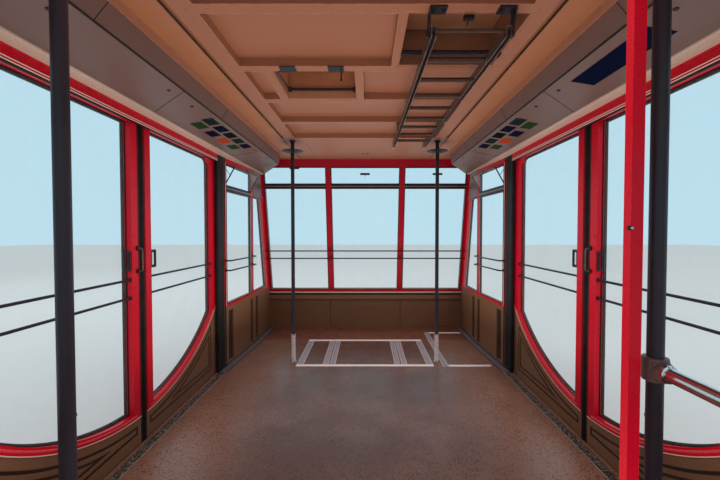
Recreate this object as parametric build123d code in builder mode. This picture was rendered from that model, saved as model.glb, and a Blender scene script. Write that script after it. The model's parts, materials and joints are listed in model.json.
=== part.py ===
from build123d import *
import os
from math import cos, radians, sin, sqrt, tan

# Aerial tramway cabin with its hanger, in millimetres.
# +Y runs along the line, +X is to the right and +Z is up.
# The origin is the centre of the bore at the top of the hanger, where the cabin hangs.
# Heights in this file are above the passenger floor; up() turns them into z.
hang_height = 6500
sides = (1, -1)
ends = (1, -1)


def up(height):
    return height - hang_height


# Plan of the body: straight at the doors, tapered beside the corner windows
wall_in = 1494
wall_thick = 32
post_end = 1300
corner_in = 1448
taper_end = 2090
wall_out = wall_in + wall_thick
corner_out = corner_in + wall_thick

# Long section of the body: the end wall is upright to the ledge and leans in above it
end_in = 2900
end_thick = 45
end_out = end_in + end_thick
ledge_top = 545
lean_start = 2880
lean_angle = 12.8
lean_slope = tan(radians(lean_angle))
lean_cos = cos(radians(lean_angle))
board_thick = 30
board_joint = 1
rib_face = 2450
field_depth = 50
ceiling_thick = 12
ceiling_face = rib_face + field_depth
wall_top = ceiling_face + ceiling_thick
roof_thick = 108
roof_top = wall_top + roof_thick
roof_round = 80


def end_wall_in(height):
    return lean_start - (height - ledge_top) * lean_slope


def end_wall_out(height):
    return end_wall_in(height) + end_thick / lean_cos


def wall_at(y):
    share = (abs(y) - post_end) / (taper_end - post_end)
    return wall_in - (wall_in - corner_in) * min(max(share, 0), 1)


def plan_points(grow, end):
    quarter = [(wall_in + grow, post_end), (corner_in + grow, taper_end), (corner_in + grow, end)]
    right = [(x, -y) for x, y in reversed(quarter)] + quarter
    return right + [(-x, -y) for x, y in right]


# A strip of the side wall between two places along it, from one depth in the wall to another
def wall_strip(y0, y1, near, far):
    return [(wall_at(y0) + near, y0), (wall_at(y1) + near, y1), (wall_at(y1) + far, y1), (wall_at(y0) + far, y0)]


# The leaning walls are drawn in their own plane, with distances measured up the slope
lean_plane = Plane(origin=(0, lean_start, up(ledge_top)), x_dir=(1, 0, 0),
                   z_dir=(0, -lean_cos, -lean_cos * lean_slope))


def slope(height):
    return (height - ledge_top) / lean_cos


# Window levels of the side walls and of the end walls
sill_top = 640
pane_low = 665
side_pane_top = 2180
side_transom = 1920
end_pane_low = 575
end_pane_top = 2350
end_transom = 2090
transom_high = 50
transom_set = 2
pane_thick = 6
vent_gap = 3
vent_tilt = 30

# Door leaves, which slide outside the body
door_gap = 6
door_in = wall_out + door_gap
door_thick = 62
door_out = door_in + door_thick
opening_half = 1155
leaf_start = 32
leaf_end = 1190
leaf_low = -60
leaf_top = 2240
stile_wide = 73
glass_end = 1078
glass_top = 2175
glass_corner = 60
arc_radius = 1550
arc_height = 1770
arc_lip = 38
glass_set = 40
glass_thick = 6
glass_rebate = 16
panel_set = 4
stile_in = leaf_start + stile_wide
leaf_middle = (leaf_start + leaf_end) / 2


def arc_at(y, radius):
    return arc_height - sqrt(radius**2 - y**2)


# Floor hatch and the metal strips on the floor
hatch_near = 1378
hatch_far = 2188
hatch_half = 395
hatch_gap = 5
strip_thick = 3
strip_wide = 58
pair_wide = 65
wide_strip = 75
side_strip_x = 708
right_strip_x = 872
kick_wide = 80
frame_high = 140
frame_wide = 100
ledge_wide = 26
skirt_low = -250
skirt_thick = 12
skirt_turn = 60
skirt_lap = 4
skirt_joint = 1
frame_low = -board_thick - frame_high

# Ceiling layout
beam_in = 752
beam_out = 855
cross_wide = 70
cross_ys = (-1362, -817, -238, 293, 836, 1381)
vent_hatch = (-570, -57, -200, 240)
roof_hatch = (210, 770, -781, -283)
coaming_wall = 18
coaming_high = 45
lid_thick = 28
seat_gap = 0.3
steps = []

# Door drive housings along both sides, as a section in X and height
housing_section = [(1494, 2244), (1420, 2258), (1095, 2308), (1055, 2450)]
soffit_thick = 8
fold_notch = 6
nose_x = 1030
nose_y = 1942
nose_slope = 1.5


def nose_at(x):
    return nose_y + (x - nose_x) * nose_slope


# Poles and rails
pole_x = 799
pole_y = 1471
pole_radius = 20
sleeve_high = 306
sleeve_radius = 24
flange_rim = 9
flange_high = 8
dish_radius = 118
dish_drop = 115
dish_hub = 22
dish_height = rib_face - dish_drop
bar_radius = 8
bar_heights = (1010, 1130)
side_bar_heights = (1035, 1140)
end_bar_heights = (1060, 1170)

# Hanger
rail_x = 840
rail_wide = 80
rail_high = 80
rail_half = 1500
beam_y = 1150
beam_wide = 180
beam_high = 200
spine_wide = 240
spine_high = 230
spine_half = 1300
spine_round = 20
bore_radius = 60
bore_long = 320
head_radius = 140
head_low = 6300


# Floor boards, one on each side of the joints round the hatch
with BuildPart() as floor_deck:
    with BuildSketch(Plane.XY.offset(up(-board_thick))):
        Polygon(*plan_points(wall_thick, end_out), align=None)
        with Locations((0, (hatch_near + hatch_far) / 2)):
            Rectangle(2 * hatch_half, hatch_far - hatch_near, mode=Mode.SUBTRACT)
        with Locations((0, hatch_near)):
            Rectangle(4 * wall_out, board_joint, mode=Mode.SUBTRACT)
        with Locations(*[(side * hatch_half, hatch_near) for side in sides]):
            Rectangle(board_joint, 2 * end_out, align=(Align.CENTER, Align.MIN), mode=Mode.SUBTRACT)
    extrude(amount=board_thick)
floor_deck.part.label = "floor_deck"

# Lid of the floor hatch, level with the boards
lid_half = hatch_half - hatch_gap
with BuildPart() as floor_hatch_lid:
    with BuildSketch(Plane.XY.offset(up(-board_thick + seat_gap))):
        with Locations((0, (hatch_near + hatch_far) / 2)):
            Rectangle(2 * lid_half, hatch_far - hatch_near - 2 * hatch_gap)
    extrude(amount=board_thick - seat_gap)
floor_hatch_lid.part.label = "floor_hatch_lid"

# Metal strips on the lid and on the boards, and kick strips along the side walls
lid_middle = (hatch_near + hatch_far) / 2
with BuildPart() as lid_strips:
    with BuildSketch(Plane.XY.offset(up(0))):
        with Locations(*[(side * (lid_half - pair_wide / 2 - 2), lid_middle) for side in sides]):
            Rectangle(pair_wide, hatch_far - hatch_near - 2 * hatch_gap - 4)
    extrude(amount=strip_thick)
lid_strips.part.label = "lid_strips"

near_strip = hatch_near - strip_wide / 2 - 4
far_strip = hatch_far + strip_wide / 2 + 4
strip_long = far_strip - near_strip - strip_wide - 4
right_near = near_strip - 7
right_far = far_strip + 349
kick_in = corner_in - kick_wide
flange_gap = 1
with BuildPart() as floor_strips:
    with BuildSketch(Plane.XY.offset(up(0))):
        with Locations((0, near_strip), (0, far_strip)):
            Rectangle(2 * side_strip_x + wide_strip, strip_wide)
        for side in sides:
            with Locations((side * (hatch_half + pair_wide / 2 + 3), lid_middle)):
                Rectangle(pair_wide, strip_long)
            with Locations((side * side_strip_x, lid_middle)):
                Rectangle(wide_strip, strip_long)
        with Locations((right_strip_x, (right_near + right_far) / 2)):
            Rectangle(pair_wide, right_far - right_near + strip_wide)
        with Locations((right_strip_x, right_near), (right_strip_x, right_far)):
            Rectangle(kick_in - right_strip_x - flange_gap, strip_wide, align=(Align.MIN, Align.CENTER))
        with Locations(*[(side * pole_x, pole_y) for side in sides]):
            Circle(sleeve_radius + flange_rim + flange_gap, mode=Mode.SUBTRACT)
        for side in sides:
            for end in ends:
                Polygon((side * wall_in, end * opening_half), (side * wall_in, end * post_end),
                        (side * corner_in, end * taper_end), (side * corner_in, end * end_in),
                        (side * kick_in, end * end_in), (side * kick_in, end * taper_end),
                        (side * (wall_in - kick_wide), end * post_end),
                        (side * (wall_in - kick_wide), end * opening_half), align=None)
    extrude(amount=strip_thick)
floor_strips.part.label = "floor_strips"

# Perforated threshold gratings along both door openings
grate_wide = 60
with BuildPart() as door_thresholds:
    for side in sides:
        with BuildSketch(Plane.XY.offset(up(0))):
            with Locations((side * (wall_in - grate_wide / 2), 0)):
                Rectangle(grate_wide, 2 * opening_half)
        extrude(amount=strip_thick + 1)
door_thresholds.part.label = "door_thresholds"

# Frame under the floor; its beams beside the hatch carry the lid's edge
side_beam_x = 960
cross_beam_count = 8
cross_beam_wide = 60
first_beam = hatch_near + ledge_wide
beam_span = (first_beam + end_in - frame_wide) / (cross_beam_count - 1)
hatch_beam_wide = 76
with BuildPart() as underframe:
    with BuildSketch(Plane.XY.offset(up(frame_low))):
        Polygon(*plan_points(wall_thick - skirt_thick, end_out - skirt_thick), align=None)
        Polygon(*plan_points(-frame_wide, end_in - frame_wide), align=None, mode=Mode.SUBTRACT)
        for side in sides:
            with Locations((side * (hatch_half - ledge_wide + hatch_beam_wide / 2), 0), (side * side_beam_x, 0)):
                Rectangle(hatch_beam_wide, 2 * end_in)
        for n in range(cross_beam_count):
            with Locations((0, first_beam - n * beam_span)):
                Rectangle(2 * corner_in, cross_beam_wide, align=(Align.CENTER, Align.MAX))
        with Locations((0, hatch_far - ledge_wide)):
            Rectangle(2 * corner_in, cross_beam_wide, align=(Align.CENTER, Align.MIN))
    extrude(amount=frame_high)
underframe.part.label = "underframe"

# Skirt below the floor: an upright band round the frame, then turned in below it
with BuildPart() as skirt:
    with BuildSketch(Plane.XY.offset(up(frame_low))):
        Polygon(*plan_points(wall_thick, end_out), align=None)
        Polygon(*plan_points(wall_thick - skirt_thick, end_out - skirt_thick), align=None,
                mode=Mode.SUBTRACT)
    extrude(amount=frame_high)
    with BuildSketch(Plane.XY.offset(up(frame_low))):
        Polygon(*plan_points(wall_thick, end_out), align=None)
    with BuildSketch(Plane.XY.offset(up(skirt_low))):
        Polygon(*plan_points(wall_thick - skirt_turn, end_out - skirt_turn), align=None)
    loft()
    with BuildSketch(Plane.XY.offset(up(frame_low))):
        Polygon(*plan_points(wall_thick - skirt_thick, end_out - skirt_thick), align=None)
    with BuildSketch(Plane.XY.offset(up(skirt_low))):
        Polygon(*plan_points(wall_thick - skirt_turn - skirt_thick, end_out - skirt_turn - skirt_thick),
                align=None)
    loft(mode=Mode.SUBTRACT)
    with BuildSketch(Plane.XY.offset(up(skirt_low))):
        with Locations(*[(0, end * (end_out - skirt_turn - skirt_thick - skirt_lap)) for end in ends]):
            Rectangle(4 * wall_out, skirt_joint)
    extrude(amount=-skirt_low, mode=Mode.SUBTRACT)
skirt.part.label = "skirt"

# Lower side walls, from the door posts to the corners, with upright channels let into them
channels = ((1390, 1510), (2010, 2086), (2200, 2300))
channel_deep = 18
channel_low = 30
channel_high = sill_top - 50
with BuildPart() as side_walls:
    with BuildSketch(Plane.XY.offset(up(0))):
        Polygon((wall_in, post_end), (corner_in, taper_end), (corner_in, end_out),
                (corner_out, end_out), (corner_out, taper_end), (wall_out, post_end), align=None)
    extrude(amount=sill_top)
    with BuildSketch(Plane.YZ.offset(corner_in)):
        Polygon((end_wall_out(ledge_top), up(ledge_top)), (end_out + 10, up(ledge_top)),
                (end_out + 10, up(sill_top + 10)), (end_wall_out(sill_top + 10), up(sill_top + 10)),
                align=None)
    extrude(amount=2 * wall_thick, both=True, mode=Mode.SUBTRACT)
    with BuildSketch(Plane.XY.offset(up(channel_low))):
        for y0, y1 in channels:
            Polygon(*wall_strip(y0, y1, -1, channel_deep), align=None)
    extrude(amount=channel_high - channel_low, mode=Mode.SUBTRACT)
    mirror(about=Plane.XZ)
    mirror(about=Plane.YZ)
side_walls.part.label = "side_walls"

# Side window frames: one bay between the door post and the corner, one corner bay
bay_start = 1355
bay_end = 2040
corner_start = taper_end + 6
corner_stile = 200
corner_top = 1900


def corner_window(low, high):
    return [(corner_start, up(low)), (end_wall_in(low) - corner_stile, up(low)),
            (end_wall_in(high) - corner_stile, up(high)), (corner_start, up(high))]


with BuildPart() as side_frames:
    with BuildSketch(Plane.XY.offset(up(sill_top))):
        Polygon((wall_in, post_end), (corner_in, taper_end), (corner_in, end_out),
                (corner_out, end_out), (corner_out, taper_end), (wall_out, post_end), align=None)
    extrude(amount=wall_top - sill_top)
    with BuildSketch(Plane.YZ):
        Polygon((end_wall_out(sill_top - 10), up(sill_top - 10)), (end_out + 10, up(sill_top - 10)),
                (end_out + 10, up(wall_top + 10)), (end_wall_out(wall_top + 10), up(wall_top + 10)),
                align=None)
        Polygon((bay_start, up(pane_low)), (bay_end, up(pane_low)),
                (bay_end, up(side_pane_top)), (bay_start, up(side_pane_top)), align=None)
        Polygon(*corner_window(pane_low, corner_top), align=None)
    extrude(amount=2 * wall_out, mode=Mode.SUBTRACT)
    mirror(about=Plane.XZ)
    mirror(about=Plane.YZ)
side_frames.part.label = "side_frames"

# Black transom bars between the large panes and the vents
bar_low = side_transom - transom_high / 2
bar_high = side_transom + transom_high / 2
with BuildPart() as side_transoms:
    with BuildSketch(Plane.XY.offset(up(bar_low))):
        Polygon(*wall_strip(bay_start, bay_end, transom_set, wall_thick - transom_set), align=None)
    extrude(amount=transom_high)
    mirror(about=Plane.XZ)
    mirror(about=Plane.YZ)
side_transoms.part.label = "side_transoms"

# Side panes; the vent above each transom stands open, tilted in at the top
bay_middle = (bay_start + bay_end) / 2
taper_dir = Vector(corner_in - wall_in, taper_end - post_end, 0).normalized()
taper_in = Vector(-taper_dir.Y, taper_dir.X, 0)
pane_out = wall_thick / 2 + pane_thick / 2
vent_high = side_pane_top - bar_high
with BuildPart() as side_panes:
    with BuildSketch(Plane.XY.offset(up(pane_low))):
        Polygon(*wall_strip(bay_start, bay_end, pane_out - pane_thick, pane_out), align=None)
    extrude(amount=bar_low - pane_low)
    with BuildSketch(Plane.YZ.offset(corner_in + pane_out - pane_thick)):
        Polygon(*corner_window(pane_low, corner_top), align=None)
    extrude(amount=pane_thick)
    tilt_dir = taper_in * sin(radians(vent_tilt)) + Vector(0, 0, cos(radians(vent_tilt)))
    hinge_plane = Plane(origin=(wall_at(bay_middle) + pane_out, bay_middle, up(bar_high + vent_gap)),
                        x_dir=taper_dir, z_dir=tilt_dir)
    with BuildSketch(hinge_plane):
        Rectangle(bay_end - bay_start - 2 * vent_gap, pane_thick, align=(Align.CENTER, Align.MIN))
    extrude(amount=vent_high - vent_gap)
    mirror(about=Plane.XZ)
    mirror(about=Plane.YZ)
side_panes.part.label = "side_panes"

# Black door posts and red headers with their sealing grooves
with BuildPart() as door_posts:
    with BuildSketch(Plane.XY.offset(up(0))):
        for side in sides:
            for end in ends:
                with Locations((side * (wall_in + wall_out) / 2, end * (opening_half + post_end) / 2)):
                    Rectangle(wall_thick, post_end - opening_half)
    extrude(amount=wall_top)
door_posts.part.label = "door_posts"

header_low = glass_top - 5
header_groove = (6, 5)
groove_first = 24
groove_pitch = 15
groove_heights = [header_low + groove_first + groove * groove_pitch for groove in range(4)]
with BuildPart() as door_headers:
    for side in sides:
        with BuildSketch(Plane.XZ.offset(-opening_half)):
            with Locations((side * wall_in, up(header_low))):
                Rectangle(wall_thick, wall_top - header_low,
                          align=(Align.MIN if side > 0 else Align.MAX, Align.MIN))
            with Locations(*[(side * wall_in, up(height)) for height in groove_heights]):
                Rectangle(*header_groove, mode=Mode.SUBTRACT)
        extrude(amount=2 * opening_half)
door_headers.part.label = "door_headers"

# Housings of the door drives, with a groove at the fold, cut on a slant at both ends
def nose_side():
    with BuildSketch() as beyond:
        Polygon((housing_inner - 20, nose_at(housing_inner - 20)), (wall_in, nose_at(wall_in)),
                (wall_in, 2 * end_in), (housing_inner - 20, 2 * end_in), align=None)
    return beyond.sketch_local


housing_inner = housing_section[-1][0]
housing_low = housing_section[0][1] - 2 * soffit_thick
fold = housing_section[2]
with BuildPart() as drive_housings:
    with BuildSketch(Plane.XZ.offset(-end_in)):
        Polygon(*[(x, up(height)) for x, height in housing_section],
                (housing_inner, up(ceiling_face)), (wall_in, up(ceiling_face)), align=None)
        with Locations((fold[0], up(fold[1]))):
            Rectangle(fold_notch, fold_notch, mode=Mode.SUBTRACT)
    extrude(amount=end_in)
    with BuildSketch(Plane.XY.offset(up(housing_low))):
        Polygon(*plan_points(0, end_in), align=None)
    extrude(amount=ceiling_face - housing_low, mode=Mode.INTERSECT)
    with BuildSketch(Plane.XY.offset(up(housing_low))):
        add(nose_side())
    extrude(amount=ceiling_face - housing_low, mode=Mode.SUBTRACT)
    split(bisect_by=lean_plane.offset(1), keep=Keep.TOP)
    mirror(about=Plane.XZ)
    mirror(about=Plane.YZ)
drive_housings.part.label = "drive_housings"

with BuildPart() as soffit_trims:
    with BuildSketch(Plane.XZ.offset(-end_in)):
        Polygon(*[(x, up(height)) for x, height in housing_section[:2]],
                *[(x, up(height - soffit_thick)) for x, height in reversed(housing_section[:2])], align=None)
    extrude(amount=end_in)
    with BuildSketch(Plane.XY.offset(up(housing_low))):
        Polygon(*plan_points(0, end_in), align=None)
    extrude(amount=ceiling_face - housing_low, mode=Mode.INTERSECT)
    with BuildSketch(Plane.XY.offset(up(housing_low))):
        add(nose_side())
    extrude(amount=ceiling_face - housing_low, mode=Mode.SUBTRACT)
    split(bisect_by=lean_plane.offset(1), keep=Keep.TOP)
    mirror(about=Plane.XZ)
    mirror(about=Plane.YZ)
soffit_trims.part.label = "soffit_trims"

# End walls: upright panel with a fascia box, a thin ledge above it, then the leaning frame
sill_box_deep = 40
fascia_low = 431
fascia_top = 500
ledge_thick = 18
ledge_deep = 48
with BuildPart() as end_walls:
    with BuildSketch(Plane.YZ.offset(-corner_in)):
        Polygon((end_in, up(0)), (end_out, up(0)), (end_out, up(ledge_top)), (end_in, up(ledge_top)),
                (end_in, up(fascia_top)), (end_in - sill_box_deep, up(fascia_top)),
                (end_in - sill_box_deep, up(fascia_low)), (end_in, up(fascia_low)), align=None)
    extrude(amount=2 * corner_in)
    mirror(about=Plane.XZ)
end_walls.part.label = "end_walls"

with BuildPart() as end_sills:
    for end in ends:
        with BuildSketch(Plane.XY.offset(up(ledge_top - ledge_thick))):
            with Locations((0, end * (end_in - ledge_deep / 2))):
                Rectangle(2 * corner_in, ledge_deep)
        extrude(amount=ledge_thick)
end_sills.part.label = "end_sills"

mullion_x = 517
mullion_wide = 66
end_glass_half = 1422
pane_columns = [(-end_glass_half, -mullion_x - mullion_wide / 2),
                (-mullion_x + mullion_wide / 2, mullion_x - mullion_wide / 2),
                (mullion_x + mullion_wide / 2, end_glass_half)]
with BuildPart() as end_frames:
    with BuildSketch(lean_plane):
        with Locations((0, slope(ledge_top) - 20)):
            Rectangle(2 * corner_in, slope(wall_top) + 60, align=(Align.CENTER, Align.MIN))
        for left, right in pane_columns:
            with Locations(((left + right) / 2, slope(end_pane_low))):
                Rectangle(right - left, slope(end_pane_top) - slope(end_pane_low),
                          align=(Align.CENTER, Align.MIN), mode=Mode.SUBTRACT)
    extrude(amount=-end_thick)
    split(bisect_by=Plane.XY.offset(up(ledge_top)), keep=Keep.TOP)
    split(bisect_by=Plane.XY.offset(up(wall_top)), keep=Keep.BOTTOM)
    mirror(about=Plane.XZ)
end_frames.part.label = "end_frames"

end_bar_low = slope(end_transom - transom_high / 2)
end_bar_high = slope(end_transom + transom_high / 2)
with BuildPart() as end_transoms:
    with BuildSketch(lean_plane.offset(-3)):
        for left, right in pane_columns:
            with Locations(((left + right) / 2, end_bar_low)):
                Rectangle(right - left, end_bar_high - end_bar_low, align=(Align.CENTER, Align.MIN))
    extrude(amount=-end_thick + 6)
    mirror(about=Plane.XZ)
end_transoms.part.label = "end_transoms"

# End panes; two of the three vents above the transom stand a little open
vent_tilts = (0, 7, 7)
with BuildPart() as end_panes:
    with BuildSketch(lean_plane.offset(-end_thick / 2)):
        for left, right in pane_columns:
            with Locations(((left + right) / 2, slope(end_pane_low))):
                Rectangle(right - left, end_bar_low - slope(end_pane_low),
                          align=(Align.CENTER, Align.MIN))
    extrude(amount=-pane_thick)
    for (left, right), tilt in zip(pane_columns, vent_tilts):
        vent_seat = lean_plane.offset(-end_thick / 2)
        vent_origin = vent_seat.from_local_coords(((left + right) / 2, end_bar_high + 2 * vent_gap, 0))
        vent_plane = Plane(origin=vent_origin, x_dir=(1, 0, 0),
                           z_dir=vent_seat.z_dir.rotate(Axis.X, -tilt))
        with BuildSketch(vent_plane):
            Rectangle(right - left - 2 * seat_gap, slope(end_pane_top) - end_bar_high - 4 * vent_gap,
                      align=(Align.CENTER, Align.MIN))
        extrude(amount=-pane_thick)
    mirror(about=Plane.XZ)
end_panes.part.label = "end_panes"

# Ceiling panel, and the ribs below it that leave the recessed fields
ceiling_end = end_wall_in(wall_top) - 1
hatches = (vent_hatch, roof_hatch)


def hatch_holes(grow):
    for x0, x1, y0, y1 in hatches:
        with Locations(((x0 + x1) / 2, (y0 + y1) / 2)):
            Rectangle(x1 - x0 + 2 * grow, y1 - y0 + 2 * grow, mode=Mode.SUBTRACT)


with BuildPart() as ceiling_panel:
    with BuildSketch(Plane.XY.offset(up(ceiling_face))):
        Polygon(*plan_points(0, ceiling_end), align=None)
        hatch_holes(coaming_wall)
    extrude(amount=ceiling_thick)
ceiling_panel.part.label = "ceiling_panel"

rib_end = end_wall_in(ceiling_face) - 1
strip_recess = 14
nose_end = nose_x + (rib_end - nose_y) / nose_slope
# Short lengthwise ribs between the cross ribs, as middle X, row and width
short_ribs = ((187, 1, 44), (-600, 2, 60), (-27, 2, 46))
# Access panel at each end of the ceiling, shown by a groove round it
access_near = 1415
access_far = 2110
access_halves = (680, 658)
groove = 5
with BuildPart() as ceiling_ribs:
    with BuildSketch(Plane.XY.offset(up(rib_face))):
        Rectangle(2 * housing_inner, 2 * rib_end)
        for side in sides:
            for end in ends:
                Polygon((side * housing_inner, end * nose_at(housing_inner)), (side * nose_end, end * rib_end),
                        (side * housing_inner, end * rib_end), align=None)
        for row_start, row_end in zip(cross_ys, cross_ys[1:]):
            with Locations((0, (row_start + row_end) / 2)):
                Rectangle(2 * beam_in, row_end - row_start - cross_wide, mode=Mode.SUBTRACT)
    extrude(amount=field_depth)
    with BuildSketch(Plane.XY.offset(up(rib_face))):
        for side in sides:
            with Locations((side * (beam_out + housing_inner) / 2, (cross_ys[0] + cross_ys[-1]) / 2)):
                Rectangle(housing_inner - beam_out, cross_ys[-1] - cross_ys[0] - cross_wide)
    extrude(amount=strip_recess, mode=Mode.SUBTRACT)
    with BuildSketch(Plane.XY.offset(up(rib_face))):
        for x, row, wide in short_ribs:
            with Locations((x, (cross_ys[row] + cross_ys[row + 1]) / 2)):
                Rectangle(wide, cross_ys[row + 1] - cross_ys[row] - cross_wide)
    extrude(amount=field_depth)
    with BuildSketch(Plane.XY.offset(up(rib_face))):
        for x0, x1, y0, y1 in hatches:
            with Locations(((x0 + x1) / 2, (y0 + y1) / 2)):
                Rectangle(x1 - x0 + 2 * coaming_wall, y1 - y0 + 2 * coaming_wall)
    extrude(amount=field_depth, mode=Mode.SUBTRACT)
    with BuildSketch(Plane.XY.offset(up(rib_face))):
        near_half, far_half = access_halves
        for end in ends:
            Polygon((-near_half, end * access_near), (near_half, end * access_near),
                    (far_half, end * access_far), (-far_half, end * access_far), align=None)
            Polygon((groove - near_half, end * (access_near + groove)),
                    (near_half - groove, end * (access_near + groove)),
                    (far_half - groove, end * (access_far - groove)),
                    (groove - far_half, end * (access_far - groove)), align=None, mode=Mode.SUBTRACT)
    extrude(amount=groove, mode=Mode.SUBTRACT)
ceiling_ribs.part.label = "ceiling_ribs"

# Roof, with rounded edges all round
with BuildPart() as roof_shell:
    with BuildSketch(Plane.XY.offset(up(wall_top))):
        Polygon(*plan_points(wall_thick, end_wall_out(wall_top)), align=None)
    extrude(amount=roof_thick)
    fillet(roof_shell.faces().sort_by(Axis.Z)[-1].edges(), radius=roof_round)
    with BuildSketch(Plane.XY.offset(up(wall_top))):
        for x0, x1, y0, y1 in hatches:
            with Locations(((x0 + x1) / 2, (y0 + y1) / 2)):
                Rectangle(x1 - x0 + 2 * coaming_wall, y1 - y0 + 2 * coaming_wall)
    extrude(amount=roof_thick, mode=Mode.SUBTRACT)
roof_shell.part.label = "roof_shell"

# Coamings of both roof hatches, up from the ribs through the roof
with BuildPart() as hatch_coamings:
    with BuildSketch(Plane.XY.offset(up(rib_face + 2))):
        for x0, x1, y0, y1 in hatches:
            with Locations(((x0 + x1) / 2, (y0 + y1) / 2)):
                Rectangle(x1 - x0 + 2 * coaming_wall, y1 - y0 + 2 * coaming_wall)
                Rectangle(x1 - x0, y1 - y0, mode=Mode.SUBTRACT)
    extrude(amount=roof_top + coaming_high - rib_face - 2)
hatch_coamings.part.label = "hatch_coamings"

# Lids of the roof hatches
lid_low = roof_top + coaming_high + seat_gap
lid_brim = 7
lid_round = 20
lid_bevel = 8
for hatch, name in zip(hatches, ("roof_vent_lid", "roof_hatch_lid")):
    x0, x1, y0, y1 = hatch
    brim = 2 * (coaming_wall + lid_brim)
    with BuildPart() as lid:
        with BuildSketch(Plane.XY.offset(up(lid_low))):
            with Locations(((x0 + x1) / 2, (y0 + y1) / 2)):
                RectangleRounded(x1 - x0 + brim, y1 - y0 + brim, lid_round)
        extrude(amount=lid_thick)
        chamfer(lid.faces().sort_by(Axis.Z)[-1].edges(), length=lid_bevel)
    lid.part.label = name
    steps.append(lid.part)

# Four poles on bright sleeves, each with a dish below the ceiling
pole_places = [(side * pole_x, end * pole_y) for side in sides for end in ends]
with BuildPart() as poles:
    with BuildSketch(Plane.XY.offset(up(sleeve_high))):
        with Locations(*pole_places):
            Circle(pole_radius)
    extrude(amount=rib_face - sleeve_high)
poles.part.label = "poles"

with BuildPart() as pole_sleeves:
    with BuildSketch(Plane.XY.offset(up(0))):
        with Locations(*pole_places):
            Circle(sleeve_radius + flange_rim)
    extrude(amount=flange_high)
    with BuildSketch(Plane.XY.offset(up(flange_high))):
        with Locations(*pole_places):
            Circle(sleeve_radius)
    extrude(amount=sleeve_high - flange_high)
pole_sleeves.part.label = "pole_sleeves"

dish_places = [place for place in pole_places if place != (pole_x, -pole_y)]
dish_rim = 5
dish_neck = 47
with BuildPart() as pole_dishes:
    for x, y in dish_places:
        with BuildSketch(Plane.XZ.offset(-y)):
            Polygon((x + pole_radius, up(dish_height - dish_hub)), (x + dish_neck, up(dish_height - dish_hub)),
                    (x + dish_radius, up(dish_height)), (x + dish_radius, up(dish_height + dish_rim)),
                    (x + pole_radius, up(dish_height + dish_rim)), align=None)
        revolve(axis=Axis((x, y, 0), (0, 0, 1)))
pole_dishes.part.label = "pole_dishes"

# Bars across the side windows, turned square to the wall at both ends.
# Thin bars have eight flats here; the rendered scene rounds them.
bar_stand = 58
bar_sides = 8
bar_start = (post_end + bay_start) / 2
bar_stop = (bay_end + corner_start) / 2
with BuildPart() as side_bars:
    for height in side_bar_heights:
        foot = Vector(wall_at(bar_start), bar_start, up(height))
        head = Vector(wall_at(bar_stop), bar_stop, up(height))
        with BuildLine() as path:
            Polyline(foot, foot + taper_in * bar_stand, head + taper_in * bar_stand, head)
        with BuildSketch(Plane(origin=foot, x_dir=(0, 0, 1), z_dir=taper_in)):
            RegularPolygon(bar_radius, bar_sides, major_radius=False)
        sweep(path=path.line, transition=Transition.RIGHT)
    mirror(about=Plane.XZ)
    mirror(about=Plane.YZ)
side_bars.part.label = "side_bars"

# Bars across the end windows, on short brackets at the mullions
end_bar_reach = 1330
end_stand = 55
end_bar_grow = 1
end_clip = (26, 12)
end_lap = 2
with BuildPart() as end_bars:
    for height in end_bar_heights:
        bar_plane = Plane(origin=(0, end_wall_in(height) - end_stand, up(height)), z_dir=(1, 0, 0))
        with BuildSketch(bar_plane.offset(-end_bar_reach)):
            RegularPolygon(bar_radius + end_bar_grow, bar_sides, major_radius=False)
        extrude(amount=2 * end_bar_reach)
        with BuildSketch(Plane.XZ.offset(-end_wall_in(height))):
            with Locations(*[(x, up(height)) for x in (-mullion_x, mullion_x)]):
                Rectangle(*end_clip)
        extrude(amount=end_stand)
        for side in sides:
            with BuildSketch(Plane.XY.offset(up(height - bar_radius))):
                with Locations((side * (end_bar_reach - end_lap), end_wall_in(height) - end_stand)):
                    Rectangle(corner_in - end_bar_reach + end_lap, end_clip[1],
                              align=(Align.MIN if side > 0 else Align.MAX, Align.CENTER))
            extrude(amount=2 * bar_radius)
    split(bisect_by=lean_plane.offset(0.01), keep=Keep.TOP)
    mirror(about=Plane.XZ)
end_bars.part.label = "end_bars"

# Attendant's place at the rear right: chrome barrier rail, and a flat red bar beside the pole
rail_radius = 18
rail_height = 1080
rail_foot_y = -2560
rail_foot_radius = 48
with BuildPart() as attendant_rail:
    with BuildLine() as path:
        Polyline((pole_x, -pole_y - pole_radius, up(rail_height)), (pole_x, rail_foot_y, up(rail_height)),
                 (pole_x, rail_foot_y, up(0)))
    with BuildSketch(Plane(origin=path.line @ 0, z_dir=path.line % 0)):
        Circle(rail_radius)
    sweep(path=path.line, transition=Transition.RIGHT)
    with BuildSketch(Plane.XY.offset(up(0))):
        with Locations((pole_x, rail_foot_y)):
            Circle(rail_foot_radius)
    extrude(amount=flange_high)
attendant_rail.part.label = "attendant_rail"

post_wide = 34
post_deep = 26
post_gap = 29
with BuildPart() as attendant_post:
    with BuildSketch(Plane.XY.offset(up(0))):
        with Locations((pole_x - pole_radius - post_gap - post_wide / 2, -pole_y)):
            Rectangle(post_wide, post_deep)
    extrude(amount=rib_face)
attendant_post.part.label = "attendant_post"

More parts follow.
